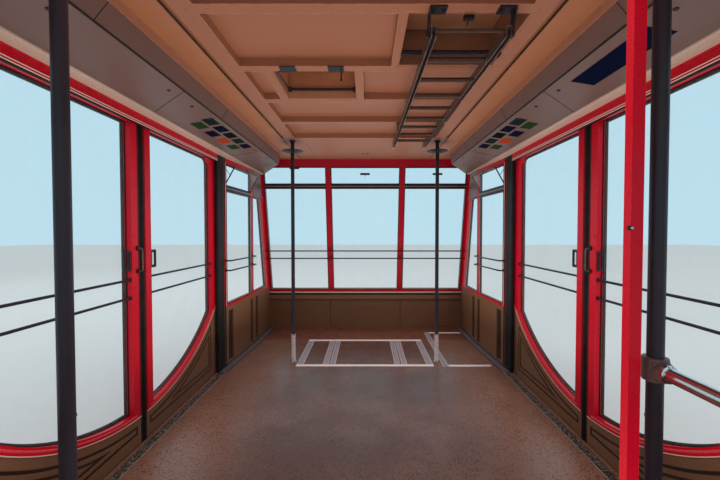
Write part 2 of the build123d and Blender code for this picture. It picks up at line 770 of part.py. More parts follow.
# Ladder under the ceiling, hung from two brackets on a cross rib
ladder_x = (307, 647)
ladder_pivot_y = -780
ladder_drop = 92
ladder_pivot_h = rib_face - ladder_drop
ladder_long = 2380
ladder_rise = 1.4
stringer_wide = 25
stringer_high = 50
rung_count = 9
rung_pitch = 262
rung_first = 140
rung_radius = 14
ladder_back = 30
pin_radius = 8
pin_gap = 0.3
ladder_plane = Plane(origin=(0, ladder_pivot_y, up(ladder_pivot_h)),
                     x_dir=(0, cos(radians(ladder_rise)), sin(radians(ladder_rise))), z_dir=(1, 0, 0))
with BuildPart() as ceiling_ladder:
    for x in ladder_x:
        with BuildSketch(ladder_plane.offset(x - stringer_wide / 2)):
            with Locations((-ladder_back, 0)):
                Rectangle(ladder_long, stringer_high, align=(Align.MIN, Align.CENTER))
            Circle(pin_radius + pin_gap, mode=Mode.SUBTRACT)
        extrude(amount=stringer_wide)
    with BuildSketch(ladder_plane.offset(ladder_x[0])):
        with Locations(*[(rung_first + rung * rung_pitch, 0) for rung in range(rung_count)]):
            RegularPolygon(rung_radius, bar_sides, major_radius=False)
    extrude(amount=ladder_x[1] - ladder_x[0])
ceiling_ladder.part.label = "ceiling_ladder"

bracket_thick = 8
bracket_gap = 3
bracket_foot = 80
bracket_half = 30
eye_half = 22
tip_half = 12
tip_drop = 20
with BuildPart() as ladder_brackets:
    for x, way in zip(ladder_x, (-1, 1)):
        face = x + way * (stringer_wide / 2 + bracket_gap)
        with BuildSketch(Plane.YZ.offset(face)):
            Polygon((cross_ys[1] - bracket_half, up(rib_face)), (cross_ys[1] + bracket_half, up(rib_face)),
                    (ladder_pivot_y + eye_half, up(ladder_pivot_h)),
                    (ladder_pivot_y + tip_half, up(ladder_pivot_h - tip_drop)),
                    (ladder_pivot_y - tip_half, up(ladder_pivot_h - tip_drop)),
                    (ladder_pivot_y - eye_half, up(ladder_pivot_h)), align=None)
        extrude(amount=way * bracket_thick)
        with BuildSketch(Plane.YZ.offset(face + way * bracket_thick)):
            with Locations((ladder_pivot_y, up(ladder_pivot_h))):
                Circle(pin_radius)
        extrude(amount=-way * (bracket_thick + 2 * bracket_gap + stringer_wide))
        with BuildSketch(Plane.XY.offset(up(rib_face))):
            with Locations((face + way * bracket_thick, cross_ys[1])):
                Rectangle(bracket_foot, 2 * bracket_half,
                          align=(Align.MAX if way > 0 else Align.MIN, Align.CENTER))
        extrude(amount=-bracket_thick)
ladder_brackets.part.label = "ladder_brackets"

# Ledges outside on which the door leaves run, and the bar that guides their lower edge
track_end = 2290
track_low = 2270
track_high = 20
track_wide = 30
guide_low = -86
guide_high = 20
guide_wide = 24


def track_points(inner_end, inner_wall, outer):
    quarter = [(wall_out - inner_wall, post_end), (corner_out - inner_wall, taper_end),
               (corner_out - inner_wall, inner_end), (outer, inner_end)]
    return quarter + [(x, -y) for x, y in reversed(quarter)]


with BuildPart() as door_tracks:
    with BuildSketch(Plane.XY.offset(up(track_low))):
        Polygon(*track_points(track_end, 0, wall_out + track_wide), align=None)
    extrude(amount=track_high)
    with BuildSketch(Plane.XY.offset(up(guide_low))):
        Polygon(*track_points(track_end, 0, wall_out + guide_wide), align=None)
    extrude(amount=guide_high)
    mirror(about=Plane.YZ)
door_tracks.part.label = "door_tracks"

# Four door leaves: red frame, lower panel, pane and black fittings
roller_radius = 22
roller_rise = track_low + track_high + seat_gap
plate_set = track_wide + 4
leaves = [("front_right", 1, 1), ("rear_right", 1, -1), ("front_left", -1, 1), ("rear_left", -1, -1)]


def leaf_face(side, distance):
    return Plane.YZ.offset(side * (door_in + distance))


def leaf_window(end, grow):
    radius = arc_radius + grow
    y0 = stile_in - grow
    y1 = glass_end + grow
    top = glass_top + grow
    cut = glass_corner
    middle = (y0 + y1) / 2
    with BuildSketch() as window:
        with BuildLine():
            Polyline((end * y1, up(arc_at(y1, radius))), (end * y1, up(top - cut)), (end * (y1 - cut), up(top)),
                     (end * y0, up(top)), (end * y0, up(arc_at(y0, radius))))
            ThreePointArc((end * y0, up(arc_at(y0, radius))), (end * middle, up(arc_at(middle, radius))),
                          (end * y1, up(arc_at(y1, radius))))
        make_face()
    return window.sketch_local


def leaf_lower(end, y0, y1, low, radius):
    middle = (y0 + y1) / 2
    with BuildSketch() as lower:
        with BuildLine():
            Polyline((end * y0, up(arc_at(y0, radius))), (end * y0, up(low)), (end * y1, up(low)),
                     (end * y1, up(arc_at(y1, radius))))
            ThreePointArc((end * y0, up(arc_at(y0, radius))), (end * middle, up(arc_at(middle, radius))),
                          (end * y1, up(arc_at(y1, radius))))
        make_face()
    return lower.sketch_local


panel_grooves = (0, 42)
groove_wide = 16
groove_deep = 5
groove_start = 66
groove_end = 1061
groove_low = 75
groove_drop = 52


def panel_outline(end, inset):
    return leaf_lower(end, groove_start + inset, groove_end - inset, groove_low + inset,
                      arc_radius + arc_lip + groove_drop + inset)


pull_low = 1190
pull_high = 1321
pull_reach = 68
pull_grip = 20
pull_deep = 12
pull_set = 4
meeting_gap = 2
bail_heights = (1183, 1338)
bail_y = 47
bail_reach = 34
bail_radius = 5
rose_radius = 17
rose_thick = 8
bar_set = 16
plate_places = (220, 980)
plate_wide = 90
plate_thick = 8
plate_over = 20
roller_wide = 20
fin_long = 900
fin_thick = 10
fin_drop = 34
for name, side, end in leaves:
    with BuildPart() as door_frame:
        with BuildSketch(leaf_face(side, 0)):
            Polygon((end * leaf_start, up(leaf_low)), (end * leaf_end, up(leaf_low)),
                    (end * leaf_end, up(leaf_top)), (end * leaf_start, up(leaf_top)), align=None)
        extrude(amount=side * door_thick)
        with BuildSketch(leaf_face(side, 0)):
            add(leaf_lower(end, leaf_start, leaf_end, leaf_low, arc_radius + arc_lip))
        extrude(amount=side * door_thick, mode=Mode.SUBTRACT)
        with BuildSketch(leaf_face(side, 0)):
            add(leaf_window(end, 0))
        extrude(amount=side * door_thick, mode=Mode.SUBTRACT)
        with BuildSketch(leaf_face(side, glass_set)):
            add(leaf_window(end, glass_rebate))
        extrude(amount=side * (door_thick - glass_set), mode=Mode.SUBTRACT)
    door_frame.part.label = "door_frame_" + name
    steps.append(door_frame.part)

    with BuildPart() as door_panel:
        with BuildSketch(leaf_face(side, panel_set)):
            add(leaf_lower(end, leaf_start, leaf_end, leaf_low, arc_radius + arc_lip))
        extrude(amount=side * (door_thick - panel_set))
        with BuildSketch(leaf_face(side, panel_set)):
            for inset in panel_grooves:
                add(panel_outline(end, inset))
                add(panel_outline(end, inset + groove_wide), mode=Mode.SUBTRACT)
        extrude(amount=side * groove_deep, mode=Mode.SUBTRACT)
    door_panel.part.label = "door_panel_" + name
    steps.append(door_panel.part)

    with BuildPart() as door_pane:
        with BuildSketch(leaf_face(side, glass_set)):
            add(leaf_window(end, glass_rebate))
        extrude(amount=side * glass_thick)
    door_pane.part.label = "door_pane_" + name
    steps.append(door_pane.part)

    with BuildPart() as door_fittings:
        # rubber at the meeting edge
        with BuildSketch(Plane.XY.offset(up(leaf_low))):
            with Locations((side * (door_in + door_out) / 2, end * (leaf_start + meeting_gap) / 2)):
                Rectangle(door_thick - 2 * pull_set, leaf_start - meeting_gap)
        extrude(amount=leaf_top - leaf_low)
        # pull handle, a flat loop beside the stile
        with BuildSketch(leaf_face(side, pull_set)):
            Polygon((end * stile_in, up(pull_low)), (end * (stile_in + pull_reach), up(pull_low)),
                    (end * (stile_in + pull_reach), up(pull_high)), (end * stile_in, up(pull_high)), align=None)
            Polygon((end * stile_in, up(pull_low + pull_grip)),
                    (end * (stile_in + pull_reach - pull_grip), up(pull_low + pull_grip)),
                    (end * (stile_in + pull_reach - pull_grip), up(pull_high - pull_grip)),
                    (end * stile_in, up(pull_high - pull_grip)), align=None, mode=Mode.SUBTRACT)
        extrude(amount=side * pull_deep)
        # bail handle on two roses, inside the rear leaf
        if end < 0:
            bail_places = [(end * bail_y, up(height)) for height in bail_heights]
            with BuildSketch(leaf_face(side, 0)):
                with Locations(*bail_places):
                    RegularPolygon(rose_radius, bar_sides, major_radius=False)
            extrude(amount=-side * rose_thick)
            with BuildSketch(leaf_face(side, -rose_thick)):
                with Locations(*bail_places):
                    RegularPolygon(bail_radius, bar_sides, major_radius=False)
            extrude(amount=-side * (bail_reach - rose_thick))
            with BuildSketch(Plane.XY.offset(up(bail_heights[0] - bail_radius))):
                with Locations((side * (door_in - bail_reach), end * bail_y)):
                    RegularPolygon(bail_radius, bar_sides, major_radius=False)
            extrude(amount=bail_heights[1] - bail_heights[0] + 2 * bail_radius)
        # two bars in front of the pane
        for height in bar_heights:
            with BuildSketch(Plane.XZ.offset(-end * stile_in)):
                with Locations((side * (door_in + bar_set), up(height))):
                    RegularPolygon(bar_radius, bar_sides, major_radius=False)
            extrude(amount=-end * (glass_end - stile_in))
        # hanger plates and rollers
        plate_top = roller_rise + roller_radius + plate_over
        for y in plate_places:
            with BuildSketch(Plane.YZ.offset(side * (wall_out + plate_set))):
                with Locations((end * y, up(leaf_top))):
                    Rectangle(plate_wide, plate_top - leaf_top, align=(Align.CENTER, Align.MIN))
            extrude(amount=side * plate_thick)
            with BuildSketch(Plane.YZ.offset(side * (wall_out + plate_set - seat_gap))):
                with Locations((end * y, up(roller_rise + roller_radius))):
                    Circle(roller_radius)
            extrude(amount=-side * roller_wide)
        # fin that runs outside the lower guide bar
        with BuildSketch(Plane.XY.offset(up(leaf_low))):
            with Locations((side * (wall_out + guide_wide + fin_thick), end * leaf_middle)):
                Rectangle(fin_thick, fin_long)
        extrude(amount=-fin_drop)
    door_fittings.part.label = "door_fittings_" + name
    steps.append(door_fittings.part)

# Hanger: rails on the roof, two cross beams, the spine, the arm and its head
with BuildPart() as roof_rails:
    with BuildSketch(Plane.XY.offset(up(roof_top))):
        with Locations(*[(side * rail_x, 0) for side in sides]):
            Rectangle(rail_wide, 2 * rail_half)
    extrude(amount=rail_high)
roof_rails.part.label = "roof_rails"

beam_low = roof_top + rail_high
spine_low = beam_low + beam_high
arm_low = spine_low + spine_high
with BuildPart() as hanger_beams:
    with BuildSketch(Plane.XY.offset(up(beam_low))):
        with Locations(*[(0, end * beam_y) for end in ends]):
            Rectangle(2 * rail_x + rail_wide, beam_wide)
    extrude(amount=beam_high)
hanger_beams.part.label = "hanger_beams"

with BuildPart() as hanger_spine:
    with BuildSketch(Plane.XY.offset(up(spine_low))):
        RectangleRounded(spine_wide, 2 * spine_half, spine_round)
    extrude(amount=spine_high)
hanger_spine.part.label = "hanger_spine"

arm_foot = (200, 460)
arm_neck = (200, 280)
gusset_half = 950
gusset_high = 800
gusset_top = 150
gusset_thick = 40
with BuildPart() as hanger_arm:
    with BuildSketch(Plane.XY.offset(up(arm_low))):
        Rectangle(*arm_foot)
    with BuildSketch(Plane.XY.offset(up(head_low))):
        Rectangle(*arm_neck)
    loft()
    with BuildSketch(Plane.YZ.offset(-gusset_thick / 2)):
        Polygon((-gusset_half, up(arm_low)), (gusset_half, up(arm_low)),
                (gusset_top, up(arm_low + gusset_high)), (-gusset_top, up(arm_low + gusset_high)), align=None)
    extrude(amount=gusset_thick)
hanger_arm.part.label = "hanger_arm"

with BuildPart() as hanger_head:
    with BuildSketch(Plane.YZ.offset(-bore_long / 2)):
        Circle(head_radius)
        Polygon((-arm_neck[1] / 2, up(head_low)), (arm_neck[1] / 2, up(head_low)), (head_radius, 0),
                (-head_radius, 0), align=None)
        Circle(bore_radius, mode=Mode.SUBTRACT)
    extrude(amount=bore_long)
hanger_head.part.label = "hanger_head"

# Ladder up the side of the hanger arm, from the roof to the head
climb_x = arm_foot[0] / 2 + 110
climb_half = 160
climb_section = (44, 16)
climb_pitch = 280
climb_rungs = 12
climb_start = 200
climb_over = 150
climb_heights = [roof_top + climb_start + rung * climb_pitch for rung in range(climb_rungs)]
stay_y = 60
stay_size = 20
rung_size = 22
with BuildPart() as hanger_ladder:
    with BuildSketch(Plane.XY.offset(up(roof_top))):
        with Locations(*[(climb_x, end * climb_half) for end in ends]):
            Rectangle(*climb_section)
    extrude(amount=climb_heights[-1] + climb_over - roof_top)
    with BuildSketch(Plane.XZ.offset(climb_half)):
        with Locations(*[(climb_x, up(height)) for height in climb_heights]):
            Rectangle(rung_size, rung_size)
    extrude(amount=-2 * climb_half)
    with BuildSketch(Plane.YZ.offset(arm_foot[0] / 2)):
        with Locations(*[(end * stay_y, up(height)) for end in ends for height in climb_heights[2::3]]):
            Rectangle(stay_size, stay_size)
    extrude(amount=climb_x - arm_foot[0] / 2)
hanger_ladder.part.label = "hanger_ladder"

# Bumper bars at the ends and rubbing strips along the sides
bumper_half = 1200
bumper_deep = 56
bumper_high = 90
bumper_round = 18
rub_high = 56
rub_rise = 4
with BuildPart() as bumpers:
    for end in ends:
        with BuildSketch(Plane.XZ.offset(-end * end_out)):
            with Locations((0, up(frame_low / 2 - board_thick / 2))):
                RectangleRounded(2 * bumper_half, bumper_high, bumper_round)
        extrude(amount=-end * bumper_deep)
    for side in sides:
        with BuildSketch(Plane.YZ.offset(side * wall_out)):
            with Locations((0, up(frame_low + rub_rise))):
                Rectangle(2 * post_end, rub_high, align=(Align.CENTER, Align.MIN))
        extrude(amount=side * bumper_deep)
bumpers.part.label = "bumpers"

os.makedirs("parts", exist_ok=True)
pieces = [floor_deck, floor_hatch_lid, lid_strips, floor_strips, door_thresholds, underframe, skirt,
          side_walls, side_frames, side_transoms, side_panes, door_posts, door_headers,
          drive_housings, soffit_trims, end_walls, end_sills, end_frames, end_transoms, end_panes,
          ceiling_panel, ceiling_ribs, roof_shell, hatch_coamings, poles, pole_sleeves, pole_dishes,
          side_bars, end_bars, attendant_rail, attendant_post, ceiling_ladder, ladder_brackets,
          door_tracks, roof_rails, hanger_beams, hanger_spine, hanger_arm, hanger_head,
          hanger_ladder, bumpers]
for piece in [piece.part for piece in pieces] + steps:
    export_step(piece, "parts/" + piece.label + ".step")
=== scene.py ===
import bpy
import json
import math
from mathutils import Matrix, Vector


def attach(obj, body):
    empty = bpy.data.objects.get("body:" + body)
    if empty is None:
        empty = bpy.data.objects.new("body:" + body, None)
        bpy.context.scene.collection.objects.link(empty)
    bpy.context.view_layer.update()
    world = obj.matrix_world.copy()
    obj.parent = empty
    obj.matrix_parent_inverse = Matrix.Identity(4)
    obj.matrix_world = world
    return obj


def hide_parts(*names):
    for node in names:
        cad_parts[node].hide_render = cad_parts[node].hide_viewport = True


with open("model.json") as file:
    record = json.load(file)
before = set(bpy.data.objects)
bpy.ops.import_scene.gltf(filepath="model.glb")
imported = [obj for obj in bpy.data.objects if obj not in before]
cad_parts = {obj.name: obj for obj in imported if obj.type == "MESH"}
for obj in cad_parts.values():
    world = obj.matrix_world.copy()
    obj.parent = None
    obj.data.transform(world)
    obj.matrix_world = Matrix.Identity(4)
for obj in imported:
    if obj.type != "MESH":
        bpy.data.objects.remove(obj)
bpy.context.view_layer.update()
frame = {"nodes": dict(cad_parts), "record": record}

bl_info = {"name": "Tramway Cabin Dresser", "version": (1, 0, 0), "blender": (4, 5, 0),
           "location": "3D View > Sidebar > Cabin",
           "description": "Finishes and fine pieces for a large aerial tramway cabin", "category": "Object"}

# Places taken from the solids, in metres; heights are above the passenger floor
HANG_HEIGHT = 6.5
WALL_IN = 1.494
WALL_OUT = 1.526
CORNER_IN = 1.448
POST_END = 1.300
TAPER_END = 2.090
LEDGE_TOP = 0.545
LEAN_START = 2.880
LEAN = math.radians(12.8)
RIB_FACE = 2.450
ROOF_TOP = 2.620
LID_TOP = 2.6933

# Along the tapered wall towards its end, and square to it into the cabin
TAPER = Vector((CORNER_IN - WALL_IN, TAPER_END - POST_END, 0)).normalized()
TAPER_IN = Vector((-TAPER.y, TAPER.x, 0))

# Side windows: the bay beside the door post along Y, its pane and its vent, and the corner pane
BAY = (1.355, 2.040)
BAY_PANE = (0.665, 1.895)
BAY_VENT = (1.945, 2.180)
CORNER_PANE = (0.665, 1.900)
CORNER_START = 2.096
CORNER_GAP = 0.200

# End windows: three columns along X, their panes and vents, and the mullions between them
END_COLUMNS = ((-1.422, -0.550), (-0.484, 0.484), (0.550, 1.422))
END_PANE = (0.575, 2.065)
END_VENT = (2.115, 2.350)
MULLION = 0.517

# Door leaves, with the arcs of the glass opening, its red trim and its pale bead about one centre; trim and
# bead paint highlights along the arc
DOOR_IN = 1.532
DOOR_OUT = 1.594
STILE_IN = 0.105
GLASS_END = 1.078
GLASS_TOP = 2.175
ARC_CENTRE = 1.770
GLASS_ARC = 1.550
TRIM_ARC = 1.568
BEAD_ARC = 1.588
DOOR_BAR_X = 1.548
LOOP_Y = -0.047
LOOP_HEIGHTS = (1.183, 1.338)

# Rails across the windows
SIDE_RAILS = (1.035, 1.140)
SIDE_RAIL_SPAN = (1.3275, 2.068)
END_RAILS = (1.060, 1.170)
DOOR_RAILS = (1.010, 1.130)

# Poles and the attendant's rail
POLE_X = 0.799
POLE_Y = 1.471
POLE_RADIUS = 0.0197
DISH_HEIGHT = 2.335
RAIL_HEIGHT = 1.080
RAIL_POST_Y = -2.560

# Ceiling and roof: the two openings and their lids as spans along X and Y, and the bars across them
VENT_OPEN = ((-0.570, -0.057), (-0.200, 0.240))
HATCH_OPEN = ((0.210, 0.770), (-0.781, -0.283))
VENT_LID = ((-0.595, -0.032), (-0.225, 0.265))
HATCH_LID = ((0.185, 0.795), (-0.806, -0.258))
VENT_BAR = (0.225, 2.512)
HATCH_BAR = (-0.410, 2.463)
CROSS_RIBS = (-1.362, -0.817, -0.238, 0.293, 0.836, 1.381)
HOUSING_EDGE = (1.095, 2.308)
HOUSING_SLOPE = 0.1538

# Roof rails and the hanger's cross beams
ROOF_RAIL_X = 0.840
BEAM_Y = 1.150

# Limits of the masks in the finishes
PAINT_DEPTH = 0.026
END_PAINT = 2.93
GROOVE_DEPTHS = (1.5370, 1.5430)
KICK_STRIPS = (1.33, 1.50)
COAMING_RIM = 2.459
LANE_SIDES = (1.25, 0.55)
LANE_ENDS = (2.35, 2.15)
HOLE_PITCH = 0.016

# Shape of the small fasteners and the angle past which an edge stays sharp
SCREW_HIGH = 0.003
RIVET_HIGH = 0.004
FASTENER_STEPS = 10
SHARP_EDGE = math.radians(35)

LEAVES = {"front_right": (1, 1), "rear_right": (1, -1), "front_left": (-1, 1), "rear_left": (-1, -1)}
CORNERS = [(1, 1), (1, -1), (-1, 1), (-1, -1)]
RIGHT, LEFT = (1, 0, 0), (-1, 0, 0)
AHEAD, BEHIND = (0, 1, 0), (0, -1, 0)
ABOVE, BELOW = (0, 0, 1), (0, 0, -1)


def up(height):
    return height - HANG_HEIGHT


def at(x, y, height):
    return Vector((x, y, up(height)))


def wall_at(y):
    share = min(max((abs(y) - POST_END) / (TAPER_END - POST_END), 0), 1)
    return WALL_IN - (WALL_IN - CORNER_IN) * share


def end_wall_at(height):
    return LEAN_START - (height - LEDGE_TOP) * math.tan(LEAN)


def arc_at(y, radius):
    return ARC_CENTRE - math.sqrt(radius ** 2 - y ** 2)


# Sizes and colours that a user would change

def length(name, description, default):
    return bpy.props.FloatProperty(name=name, description=description, default=default, unit="LENGTH",
                                   precision=4)


def paint(name, description, default):
    return bpy.props.FloatVectorProperty(name=name, description=description, default=default,
                                         subtype="COLOR", size=3, min=0, max=1)


class CabinSizes(bpy.types.PropertyGroup):
    gasket_width: length("Gasket width", "Width of the black rubber round each pane", 0.012)
    bead_radius: length("Bead radius", "Radius of the pale beads beside the gaskets", 0.0028)
    rail_radius: length("Rail radius", "Radius of the bars across the windows", 0.0085)
    rail_stand: length("Rail stand-off", "Distance of the side bars from the wall", 0.058)
    rose_radius: length("Rose radius", "Radius of the roses that carry bars and handles", 0.018)
    rung_radius: length("Rung radius", "Radius of the ceiling ladder's rungs", 0.0135)
    rung_pitch: length("Rung pitch", "Distance between two rungs of the ceiling ladder", 0.259)
    screw_radius: length("Screw radius", "Radius of the small screw heads", 0.005)
    rivet_radius: length("Rivet radius", "Radius of the rivets on the outer panels", 0.007)
    bolt_radius: length("Bolt radius", "Radius of the bolt heads on the hanger", 0.018)
    tile_wide: length("Tile length", "Length of a plain plate on the drive housings", 0.150)
    stage_size: length("Floor size", "Size of the studio floor", 90.0)


class CabinColours(bpy.types.PropertyGroup):
    floor: paint("Floor", "Rubber floor", (0.290, 0.158, 0.116))
    strips: paint("Floor strips", "Metal strips on the floor", (0.43, 0.40, 0.47))
    grate: paint("Threshold", "Perforated threshold", (0.02, 0.018, 0.018))
    structure: paint("Structure", "Roof rails and underframe", (0.13, 0.14, 0.15))
    skirt: paint("Skirt", "Skirt below the floor", (0.075, 0.078, 0.085))
    lining: paint("Lower walls", "Painted lower wall panels", (0.190, 0.093, 0.050))
    red: paint("Frames", "Window and door frames", (0.60, 0.003, 0.023))
    black: paint("Black fittings", "Poles, bars and transoms", (0.014, 0.011, 0.019))
    rubber: paint("Rubber", "Seals, posts and bumpers", (0.012, 0.011, 0.013))
    housing: paint("Drive housings", "Covers of the door drives", (0.170, 0.105, 0.094))
    cream: paint("Cream trim", "Soffits, ledges and beads", (0.62, 0.49, 0.42))
    ceiling: paint("Ceiling", "Ceiling fields and ribs", (0.360, 0.148, 0.086))
    roof: paint("Roof", "Roof and lids", (0.56, 0.57, 0.58))
    steel: paint("Bright steel", "Sleeves and rail", (0.74, 0.73, 0.75))
    # The ladders' dark brown is painted shade, for the ladder seen in shade under the ceiling.
    ladder: paint("Ladder", "Aluminium ladders", (0.17, 0.115, 0.10))
    hanger: paint("Hanger", "Painted hanger", (0.25, 0.27, 0.29))
    glass: paint("Glass", "Window panes", (0.80, 0.90, 0.95))
    daylight: paint("Background", "Pale background seen through the panes", (0.50, 0.75, 0.87))


# Modelling helpers

def deselect_all():
    bpy.ops.object.select_all(action="DESELECT")


def pick(piece):
    deselect_all()
    piece.select_set(True)
    bpy.context.view_layer.objects.active = piece


def settle(piece):
    """Put a piece's place, turn and scale into its mesh."""
    pick(piece)
    bpy.ops.object.transform_apply(location=True, rotation=True, scale=True)
    return piece


def edit(piece, mode="VERT"):
    pick(piece)
    bpy.ops.object.mode_set(mode="EDIT")
    bpy.ops.mesh.select_mode(type=mode)
    bpy.ops.mesh.select_all(action="SELECT")


def leave_edit():
    bpy.ops.object.mode_set(mode="OBJECT")


def block(centre, size, soft=0.0, steps=1):
    """A cube at its size and place, its edges rounded off in edit mode."""
    deselect_all()
    bpy.ops.mesh.primitive_cube_add(size=1, location=centre)
    piece = bpy.context.object
    piece.scale = size
    settle(piece)
    if soft:
        edit(piece, "EDGE")
        bpy.ops.mesh.bevel(offset=soft, segments=steps, affect="EDGES")
        leave_edit()
    return piece


def wire(points, closed=False, face=False):
    """A run of edges drawn point by point from one vertex."""
    deselect_all()
    bpy.ops.mesh.primitive_plane_add(size=0.01, location=points[0])
    piece = settle(bpy.context.object)
    edit(piece)
    bpy.ops.mesh.merge(type="CENTER")
    for start, stop in zip(points, points[1:]):
        bpy.ops.mesh.extrude_vertices_move(TRANSFORM_OT_translate={"value": Vector(stop) - Vector(start)})
    if closed:
        bpy.ops.mesh.select_all(action="SELECT")
        bpy.ops.mesh.edge_face_add()
        if not face:
            bpy.ops.mesh.delete(type="ONLY_FACE")
    leave_edit()
    return piece


def slab(points, depth, soft=0.0):
    """A flat outline drawn by its corners and given its depth by extrusion."""
    piece = wire(points, closed=True, face=True)
    edit(piece, "FACE")
    bpy.ops.mesh.extrude_region_move(TRANSFORM_OT_translate={"value": Vector(depth)})
    bpy.ops.mesh.select_all(action="SELECT")
    bpy.ops.mesh.normals_make_consistent(inside=False)
    leave_edit()
    return soften(piece, soft)


def soften(piece, soft):
    if soft:
        pick(piece)
        rounding = piece.modifiers.new("soft edges", "BEVEL")
        rounding.width = soft
        rounding.segments = 1
        rounding.limit_method = "ANGLE"
        rounding.angle_limit = math.radians(40)
        bpy.ops.object.modifier_apply(modifier=rounding.name)
    return piece


def ring(points, width, depth, soft=0.0):
    """A frame of the given width inside an outline: inset, opened and extruded."""
    piece = wire(points, closed=True, face=True)
    edit(piece, "FACE")
    bpy.ops.mesh.inset(thickness=width, depth=0, use_even_offset=True)
    bpy.ops.mesh.delete(type="FACE")
    bpy.ops.mesh.select_all(action="SELECT")
    bpy.ops.mesh.extrude_region_move(TRANSFORM_OT_translate={"value": Vector(depth)})
    leave_edit()
    return soften(piece, soft)


def rod(points, radius, corner=0.0, closed=False, sides=3):
    """A round bar along a run of points, its corners turned on an arc."""
    piece = wire(points, closed)
    if corner:
        edit(piece)
        bpy.ops.mesh.bevel(offset=corner, segments=5, affect="VERTICES")
        leave_edit()
    pick(piece)
    bpy.ops.object.convert(target="CURVE")
    piece = bpy.context.object
    piece.data.bevel_depth = radius
    piece.data.bevel_resolution = sides
    piece.data.use_fill_caps = True
    bpy.ops.object.convert(target="MESH")
    return bpy.context.object


def turned(centre, axis, profile, steps=24):
    """A lathe-turned piece: its half section (radius, along the axis) spun round."""
    axis = Vector(axis).normalized()
    across = axis.orthogonal().normalized()
    centre = Vector(centre)
    piece = wire([centre + across * radius + axis * along for radius, along in profile])
    edit(piece)
    bpy.ops.mesh.spin(steps=steps, angle=math.tau, center=centre, axis=axis)
    bpy.ops.mesh.select_all(action="SELECT")
    bpy.ops.mesh.remove_doubles(threshold=0.00005)
    bpy.ops.mesh.normals_make_consistent(inside=False)
    leave_edit()
    return piece


def head(centre, axis, radius, high, steps=10):
    """A low domed screw or rivet head standing on a surface."""
    return turned(centre, axis,
                  [(radius, -0.0005), (radius, high * 0.35), (radius * 0.7, high * 0.85), (0, high)], steps)


def screw(place, axis, sizes):
    return head(place, axis, sizes.screw_radius, SCREW_HIGH, FASTENER_STEPS)


def rivet(place, axis, sizes):
    return head(place, axis, sizes.rivet_radius, RIVET_HIGH, FASTENER_STEPS)


def hexagon(centre, axis, radius, high):
    """A bolt: washer below, hexagon head on it with its rim eased."""
    washer = turned(centre, axis,
                    [(0, 0), (radius * 1.35, 0), (radius * 1.35, high * 0.22), (0, high * 0.22)], 16)
    nut = turned(centre, axis, [(0, high * 0.2), (radius, high * 0.2), (radius, high * 0.85),
                                (radius * 0.82, high), (0, high)], 6)
    return join([washer, nut])


def join(pieces):
    """One object from a piece or a list of pieces."""
    pieces = pieces if isinstance(pieces, list) else [pieces]
    deselect_all()
    for piece in pieces:
        piece.select_set(True)
    bpy.context.view_layer.objects.active = pieces[0]
    if len(pieces) > 1:
        bpy.ops.object.join()
    return bpy.context.view_layer.objects.active


def copied(piece, place):
    """A copy with its own mesh, moved, turned or mirrored by a matrix."""
    other = piece.copy()
    other.data = piece.data.copy()
    other.data.transform(place)
    if place.is_negative:
        other.data.flip_normals()
    bpy.context.collection.objects.link(other)
    return other


def repeat(pieces, places):
    """One object from copies of a piece, or of a list of pieces, at each place."""
    piece = join(pieces)
    copies = [copied(piece, place) for place in places]
    bpy.data.objects.remove(piece)
    return join(copies)


def shift(x, y, z=0.0):
    return Matrix.Translation((x, y, z))


def flip(side, end):
    """Mirror across the middle planes, from the front right quarter to another."""
    return Matrix.Diagonal((side, end, 1, 1))


def both_sides(pieces):
    return repeat(pieces, [flip(1, 1), flip(-1, 1)])


def both_ends(pieces):
    return repeat(pieces, [flip(1, 1), flip(1, -1)])


def all_corners(pieces):
    return repeat(pieces, [flip(side, end) for side, end in CORNERS])


def finish(slot_name):
    return bpy.data.materials[slot_name + " finish"]


def dress(pieces, name, slot, body="root", replaces=(), coat=None):
    """Join and clean a piece's mesh, give it its name and finish, and let it ride on its body."""
    piece = join(pieces)
    edit(piece)
    bpy.ops.mesh.remove_doubles(threshold=0.00002)
    bpy.ops.mesh.normals_make_consistent(inside=False)
    leave_edit()
    pick(piece)
    bpy.ops.object.shade_smooth_by_angle(angle=SHARP_EDGE)
    piece.name = name
    piece.data.name = name
    piece.data.materials.clear()
    piece.data.materials.append(finish(coat or slot))
    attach(piece, body)
    if replaces:
        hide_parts(*replaces)


# Shader helpers

def add_node(tree, kind, **settings):
    new = tree.nodes.new(kind)
    for key, value in settings.items():
        setattr(new, key, value)
    return new


def feed(tree, socket, value):
    if isinstance(value, bpy.types.NodeSocket):
        tree.links.new(value, socket)
    elif isinstance(value, tuple) and len(value) == 3 and socket.type == "RGBA":
        socket.default_value = (*value, 1)
    else:
        socket.default_value = value


def calc(tree, operation, first, second=0.0, clamp=False):
    """The result of a Math node on one or two values."""
    new = add_node(tree, "ShaderNodeMath", operation=operation, use_clamp=clamp)
    feed(tree, new.inputs[0], first)
    feed(tree, new.inputs[1], second)
    return new.outputs[0]


def blend(tree, share, first, second, kind="MIX"):
    new = add_node(tree, "ShaderNodeMix", data_type="RGBA", blend_type=kind)
    feed(tree, new.inputs[0], share)
    feed(tree, new.inputs[6], first)
    feed(tree, new.inputs[7], second)
    return new.outputs[2]


def spread(tree, value, low, high, to_low=0.0, to_high=1.0):
    new = add_node(tree, "ShaderNodeMapRange", interpolation_type="SMOOTHSTEP")
    for socket, number in zip(new.inputs, (value, low, high, to_low, to_high)):
        feed(tree, socket, number)
    return new.outputs[0]


def between(tree, value, low, high):
    """A mask that is set where the value lies between two limits."""
    return calc(tree, "MULTIPLY", calc(tree, "GREATER_THAN", value, low),
                calc(tree, "LESS_THAN", value, high))


